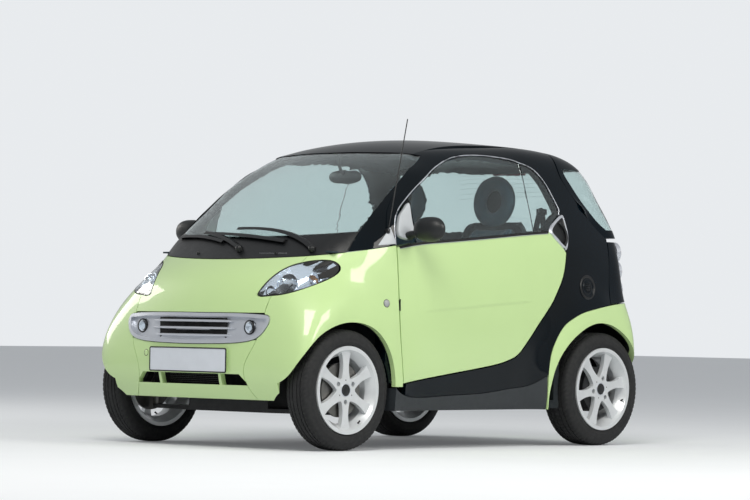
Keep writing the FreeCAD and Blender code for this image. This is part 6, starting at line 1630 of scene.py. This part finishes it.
class MICROCAR_OT_steering_wheel(Operator):
    """Build the padded steering wheel with its plain centre cover"""
    bl_idname = "microcar.steering_wheel"
    bl_label = "Steering wheel"

    def execute(self, context):
        tilt = math.radians(WHEEL_TILT)
        aim = Vector((0.0, math.cos(tilt), math.sin(tilt)))
        rise = aim.cross(ACROSS)
        centre = Vector(WHEEL_CENTRE)
        rings = []
        for i in range(RIM_STEPS):
            a = 2 * math.pi * i / RIM_STEPS
            out = ACROSS * math.cos(a) + rise * math.sin(a)
            grip = 1.0 + GRIP_SWELL * max(0.0, math.cos(2 * (a - math.radians(20)))) ** 6
            rings.append([centre + out * (RIM_RADIUS + b * grip) + aim * (c * grip) for b, c in RIM_SECTION])
        rim = loft("steering_rim", rings, "leather", "hand_wheel", loop=True)
        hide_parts("steering_wheel")
        loop = superoval(0.070, 0.056, 2.6, 48)
        rings = []
        for share, lift in COVER:
            rings.append([centre + ACROSS * a * share + rise * (b * share - 0.006) + aim * lift for a,
                          b in loop])
        loft("steering_cover", rings, "trim", "hand_wheel")
        for number, angle in enumerate(SPOKES):
            a = math.radians(angle)
            out = ACROSS * math.cos(a) + rise * math.sin(a)
            run = smooth_run([centre + out * 0.050 - aim * 0.014, centre + out * 0.110 - aim * 0.012,
                              centre + out * 0.184 - aim * 0.002], 5)
            swept(f"steering_spoke_{number}", run, SECTIONS["steering_spoke"], "trim", "hand_wheel",
                  normals=[aim] * len(run),
                  scales=[1.25 - 0.55 * i / (len(run) - 1) for i in range(len(run))])
        for number, sign in enumerate((1.0, -1.0)):
            run = smooth_run([(0.305 + 0.030 * sign, -0.262, 0.765), (0.305 + 0.085 * sign, -0.255, 0.772),
                              (0.305 + 0.140 * sign, -0.245, 0.782)], 5)
            swept(f"column_stalk_{number}", run, round_section(0.006, 10), "trim", "body",
                  scales=STALK_GIRTH)
        return {"FINISHED"}


LINING_FROM, LINING_LENGTH, LINING_HALF = -0.22, 0.90, 0.50
LINING_ROWS, LINING_COLUMNS = 25, 33
LINING_GAP = 0.010
INNER_MIRROR = (0.0, -0.200, 1.322)
INNER_SHELL = ((0.02, -0.020), (0.6, -0.018), (0.9, -0.010), (1.0, 0.002), (0.98, 0.006), (0.94, 0.0065))
VISOR_FROM, VISOR_DEPTH = -0.165, 0.13
VISOR_X, VISOR_WIDTH = 0.090, 0.33
VISOR_ROWS, VISOR_COLUMNS = 5, 13
DOOR_CARD = [(-0.515, 0.930), (-0.505, 0.700), (-0.490, 0.420), (-0.300, 0.405), (-0.050, 0.430),
             (0.180, 0.470), (0.330, 0.600), (0.480, 0.770), (0.570, 0.900), (0.560, 0.985), (0.470, 1.020),
             (0.200, 0.995), (-0.200, 0.965)]
ARM_REST = (-0.250, -0.100, 0.050, 0.200)
SPEAKER = (-0.350, 0.560)
# y, z and the distance from the door
DOOR_PULL = ((-0.330, 0.840, 0.008), (-0.310, 0.842, 0.030), (-0.250, 0.848, 0.034), (-0.190, 0.852, 0.030),
             (-0.170, 0.853, 0.008))


class MICROCAR_OT_cabin_trim(Operator):
    """Line the roof and doors, hang the inner mirror and fit the sun visors"""
    bl_idname = "microcar.cabin_trim"
    bl_label = "Cabin trim"

    def execute(self, context):
        rows = []
        for i in range(LINING_ROWS):
            y = LINING_FROM + LINING_LENGTH * i / (LINING_ROWS - 1)
            row = []
            for k in range(LINING_COLUMNS):
                x = -LINING_HALF + 2 * LINING_HALF * k / (LINING_COLUMNS - 1)
                hit = seat_on(["roof_panel", "cell_left", "cell_right", "windscreen"], Vector((x, y, 1.05)),
                              UP)
                ceiling = hit[0].z if hit else 1.40
                edge = (abs(x) / LINING_HALF) ** 8 * 0.012
                row.append(Vector((x, y, ceiling - LINING_GAP - edge)))
            rows.append(row)
        lining = loft("roof_lining", rows, "headliner", "body", closed=False)
        thickened(lining, 0.004, 0.0)
        mirror_at = Vector(INNER_MIRROR)
        loop = superoval(0.112, 0.034, 2.5, 48)
        rings = []
        for share, lift in INNER_SHELL:
            rings.append([mirror_at + Vector((a * share, lift, b * share)) for a, b in loop])
        loft("inner_mirror", rings, "trim", "body")
        rings = [[mirror_at + Vector((a * s, 0.0072, b * s)) for a, b in loop] for s in (0.02, 0.5, 0.93)]
        loft("inner_mirror_glass", rings, "mirror_glass", "body", caps=False)
        hit = seat_on(["windscreen", "roof_panel"], Vector((0.0, -0.250, 1.20)), UP)
        swept("inner_mirror_arm", smooth_run([mirror_at + Vector((0.0, -0.012, 0.012)),
                                              mirror_at + Vector((0.0, -0.040, 0.050)), hit[0]], 6),
              round_section(0.008, 10), "trim", "body")
        for hand, side in SIDES:
            visor = []
            for i in range(VISOR_ROWS):
                y = VISOR_FROM + VISOR_DEPTH * i / (VISOR_ROWS - 1)
                row = []
                for k in range(VISOR_COLUMNS):
                    x = (VISOR_X + VISOR_WIDTH * k / (VISOR_COLUMNS - 1)) * side
                    hit = seat_on(["roof_panel", "windscreen", f"cell_{hand}"], Vector((x, y, 1.10)), UP)
                    row.append(Vector((x, y, (hit[0].z if hit else 1.38) - 0.028)))
                visor.append(row)
            panel = loft(f"sun_visor_{hand}", visor, "headliner", "body", closed=False)
            thickened(panel, 0.012, 0.0)
            rounding = panel.modifiers.new("rounding", "BEVEL")
            rounding.width = 0.004
            rounding.segments = 3

            door = f"door_{hand}"

            def inside(y, z, side=side, door=door):
                aim = Vector((side, 0.0, 0.0))
                found = seat_on([door], Vector((side * 0.40, y, z)), aim)
                if found is None:
                    return nearest_on([door], Vector((side * 0.60, y, z)), aim)
                return found[0], Vector((-side, 0.0, 0.0))

            loop = outline(DOOR_CARD)
            pad(f"door_card_{hand}", loop, inside, RISES["door_card"], "dash", door)
            rest = [inside(y, 0.690 + 0.05 * (y + 0.15))[0] + Vector((-side * 0.026, 0.0, 0.0))
                    for y in ARM_REST]
            swept(f"arm_rest_{hand}", smooth_run(rest, 5), SECTIONS["arm_rest"], "leather", door,
                  normals=[Vector((-side, 0.0, 0.0))] * 16,
                scales=[0.45, 0.75] + [1.0] * 12 + [0.75, 0.45])
            at, normal = inside(*SPEAKER)
            lathed("speaker_grille", at, normal, door, f"_{hand}")
            grip = [inside(y, z)[0] - ACROSS * (side * gap) for y, z, gap in DOOR_PULL]
            swept(f"door_pull_{hand}", smooth_run(grip, 5), round_section(0.009, 10), "silver", door)
        return {"FINISHED"}


# The tail

def from_rear(nodes, x, z):
    found = seat_on(nodes, Vector((x, 2.2, z)), AHEAD)
    if found is None:
        return nearest_on(nodes, Vector((x, 1.3, z)), AHEAD)
    return found[0], found[1]


BEZELS = (0.978, 0.884, 0.792)
BEZEL_X = 0.606
BEZEL_SUNK = 0.020
REFLECTOR = (0.560, 0.340)
REFLECTOR_RISES = ((0.02, 0.004), (0.8, 0.004), (0.96, 0.0032), (1.0, 0.001), (1.0, -0.006))
HIGH_LAMP = (-0.11, -0.055, 0.0, 0.055, 0.11)
HIGH_LAMP_Z = 1.392
HEATING_LINES = 7
HEATING_LOW, HEATING_PITCH = 1.13, 0.030
HEATING_HALF, HEATING_TAPER = 0.40, 0.012
HEATING_POINTS = 13
REAR_PIVOT = (0.0, 1.075)
# x, z and the height above the glass
REAR_ARM = ((0.0, 1.082, 0.018), (0.060, 1.100, 0.022), (0.130, 1.116, 0.022), (0.200, 1.128, 0.018),
            (0.270, 1.136, 0.014))
REAR_BLADE = ((0.080, 1.104), (0.160, 1.120), (0.240, 1.132), (0.320, 1.140), (0.390, 1.144))
BLADE_RISE = 0.006


class MICROCAR_OT_tail_fittings(Operator):
    """Fit lamp bezels, reflectors, the high lamp, the rear wiper and heating lines"""
    bl_idname = "microcar.tail_fittings"
    bl_label = "Tail fittings"

    def execute(self, context):
        for hand, side in SIDES:
            aim = Vector((side * 0.25, 0.97, 0.0)).normalized()
            for number, z in enumerate(BEZELS):
                lamp, _ = from_rear(["tail_lamps"], BEZEL_X * side, z)
                centre = Vector((BEZEL_X * side, lamp.y - BEZEL_SUNK, z))
                lathed("lamp_bezel", centre, aim, "body", f"_{hand}_{number}")
            at, normal = from_rear(["rear_bumper"], REFLECTOR[0] * side, REFLECTOR[1])
            loop = superoval(0.050, 0.017, 3.5, 32)
            across = UP.cross(normal).normalized()
            rise = normal.cross(across)
            rings = [[at + across * a * s + rise * b * s + normal * d for a, b in loop]
                     for s, d in REFLECTOR_RISES]
            loft(f"rear_reflector_{hand}", rings, "red", "body")
        hatch = ["hatch_frame", "hatch_glass"]
        run = [from_rear(hatch, x, HIGH_LAMP_Z) for x in HIGH_LAMP]
        swept("high_lamp", [p for p, _ in run], SECTIONS["high_lamp"],
            "red", "hatch", normals=[n for _, n in run])
        lines = []
        for i in range(HEATING_LINES):
            z = HEATING_LOW + HEATING_PITCH * i
            half = HEATING_HALF - HEATING_TAPER * i
            row = []
            for k in range(HEATING_POINTS):
                x = -half + 2 * half * k / (HEATING_POINTS - 1)
                found = seat_on(["hatch_glass"], Vector((x, 0.60, z - 0.10)),
                                Vector((0.0, 0.9, 0.43)).normalized())
                row.append(found[0] + found[1] * 0.0006 if found else None)
            if all(p is not None for p in row):
                lines.append(swept(f"heater_{i}", row, round_section(0.0006, 4), "zinc", "hatch"))
        if lines:
            joined("rear_heating_lines", lines)
        root, normal = from_rear(hatch, *REAR_PIVOT)
        lathed("rear_wiper_pivot", root, normal, "hatch")
        spots = [from_rear(hatch, x, z) for x, z, _ in REAR_ARM]
        swept("rear_wiper_arm", [p + n * rise for (p, n), (_, _, rise) in zip(spots, REAR_ARM)],
              SECTIONS["rear_wiper_arm"], "trim", "hatch", normals=[n for _, n in spots],
              scales=[1.2, 1.0, 0.8, 0.7, 0.6])
        spots = [from_rear(hatch, x, z) for x, z in REAR_BLADE]
        swept("rear_wiper_blade", [p + n * BLADE_RISE for p, n in spots], SECTIONS["rear_wiper_blade"],
              "seal",
              "hatch", normals=[n for _, n in spots])
        return {"FINISHED"}


# The studio

FLOOR_HALF = 40.0
FLOOR_LIFT = 0.12
SCUFF_TONE = (0.6, 0.6, 0.6)
SEEN_STRENGTH = 0.92
BACKDROP = "F1F4F7"
LAMP_TONE = "FFFCF6"
# Lamp, place, size and share of the key's power
LAMPS = (("key_box", (3.5, -4.5, 6.6), 3.5, 1.0), ("side_box", (7.0, 1.0, 4.5), 3.0, 0.6),
         ("rear_box", (-8.0, -1.5, 3.4), 3.0, 0.4))
LAMP_AIM = (0.0, 0.0, 0.6)
CAMERA_PLACE = (11.820, -12.423, 0.613)
CAMERA_AROUND, CAMERA_ABOVE, CAMERA_ROLL = 43.52, -1.18, 0.90
FILM_WIDTH = 36.0
CAMERA_REACH = 200.0


class MICROCAR_OT_stage(Operator):
    """Set the pale floor, soft lamps and the camera"""
    bl_idname = "microcar.stage"
    bl_label = "Stage"

    def execute(self, context):
        studio = context.scene.microcar_studio
        scene = context.scene
        tone = studio.floor
        # Painted cyclorama: matt and pale, brighter to the camera than the light it gives back.
        material, tree, shader = finish("matt_cyclorama_paint", tone, 0.85)
        tinted(tree, shader, mottle(tree, 0.5, 0.0, 0.06), tone, SCUFF_TONE)
        shader.inputs["Emission Color"].default_value = rgba(tone)
        path = add_node(tree, "ShaderNodeLightPath")
        lift = add_node(tree, "ShaderNodeMath", {"operation": "MULTIPLY", 1: FLOOR_LIFT},
                        {0: path.outputs["Is Camera Ray"]})
        tree.links.new(lift.outputs[0], shader.inputs["Emission Strength"])
        floor_z = CAD_BOX[0][2]
        corners = [(x * FLOOR_HALF, y * FLOOR_HALF, floor_z) for x, y in ((-1, -1), (1, -1), (1, 1), (-1, 1))]
        floor = piece("studio_floor", corners, [(0, 1, 2, 3)], material, None)

        world = bpy.data.worlds.new("pale_studio")
        scene.world = world
        world.use_nodes = True
        tree = world.node_tree
        back = tree.nodes["Background"]
        path = add_node(tree, "ShaderNodeLightPath")
        seen = add_node(tree, "ShaderNodeMath", {"operation": "MAXIMUM"}, {
            0: path.outputs["Is Camera Ray"], 1: path.outputs["Is Transmission Ray"]})
        power = add_node(tree, "ShaderNodeMapRange", {"To Min": studio.fill_power, "To Max": SEEN_STRENGTH},
                         {"Value": seen.outputs[0]})
        tree.links.new(power.outputs["Result"], back.inputs["Strength"])
        back.inputs["Color"].default_value = rgba(linear(BACKDROP))

        for name, at, size, share in LAMPS:
            data = bpy.data.lights.new(name, "AREA")
            data.energy = studio.key_power * share
            data.size = size
            data.color = linear(LAMP_TONE)
            lamp = bpy.data.objects.new(name, data)
            lamp.location = at
            lamp.rotation_euler = (Vector(LAMP_AIM) - Vector(at)).to_track_quat("-Z", "Y").to_euler()
            scene.collection.objects.link(lamp)

        camera = bpy.data.cameras.new("photo_camera")
        camera.lens = studio.lens
        camera.sensor_width = FILM_WIDTH
        camera.clip_end = CAMERA_REACH
        view = bpy.data.objects.new("photo_camera", camera)
        around, above, roll = (math.radians(a) for a in (CAMERA_AROUND, CAMERA_ABOVE, CAMERA_ROLL))
        back_axis = Vector((math.sin(around) * math.cos(above), -math.cos(around) * math.cos(above),
                            math.sin(above)))
        right = UP.cross(back_axis).normalized()
        upward = back_axis.cross(right)
        right_turned = right * math.cos(roll) + upward * math.sin(roll)
        up_turned = upward * math.cos(roll) - right * math.sin(roll)
        turn = Matrix((right_turned, up_turned, back_axis)).transposed()
        view.matrix_world = Matrix.Translation(CAMERA_PLACE) @ turn.to_4x4()
        scene.collection.objects.link(view)
        scene.camera = view
        scene.view_settings.view_transform = "Standard"
        return {"FINISHED"}


OPERATORS = (
    MICROCAR_OT_finishes,
    MICROCAR_OT_tyres,
    MICROCAR_OT_wheel_fittings,
    MICROCAR_OT_headlamps,
    MICROCAR_OT_nose_fittings,
    MICROCAR_OT_side_trims,
    MICROCAR_OT_handles,
    MICROCAR_OT_mirrors,
    MICROCAR_OT_wiper_fittings,
    MICROCAR_OT_seats,
    MICROCAR_OT_belts,
    MICROCAR_OT_dashboard,
    MICROCAR_OT_steering_wheel,
    MICROCAR_OT_cabin_trim,
    MICROCAR_OT_tail_fittings,
    MICROCAR_OT_stage,
)


class MICROCAR_PT_panel(Panel):
    """Lists the pieces and their sizes"""
    bl_idname = "MICROCAR_PT_panel"
    bl_label = "Microcar"
    bl_space_type = "VIEW_3D"
    bl_region_type = "UI"
    bl_category = "Microcar"

    def draw(self, context):
        for group in GROUPS:
            box = self.layout.box()
            sizes = getattr(context.scene, group)
            for key in sizes.__annotations__:
                box.prop(sizes, key)
        column = self.layout.column(align=True)
        for operator in OPERATORS:
            column.operator(operator.bl_idname)


GROUPS = {
    "microcar_paint": PaintColours,
    "microcar_tyres": TyreSizes,
    "microcar_cabin": CabinSizes,
    "microcar_studio": StudioSizes,
}


def register():
    for group in GROUPS.values():
        bpy.utils.register_class(group)
    for name, group in GROUPS.items():
        setattr(bpy.types.Scene, name, PointerProperty(type=group))
    for operator in OPERATORS:
        bpy.utils.register_class(operator)
    bpy.utils.register_class(MICROCAR_PT_panel)


def unregister():
    bpy.utils.unregister_class(MICROCAR_PT_panel)
    for operator in reversed(OPERATORS):
        bpy.utils.unregister_class(operator)
    for name in GROUPS:
        delattr(bpy.types.Scene, name)
    for group in reversed(list(GROUPS.values())):
        bpy.utils.unregister_class(group)


def main():
    register()
    for operator in OPERATORS:
        group, name = operator.bl_idname.split(".")
        getattr(getattr(bpy.ops, group), name)()


if __name__ == "__main__":
    main()
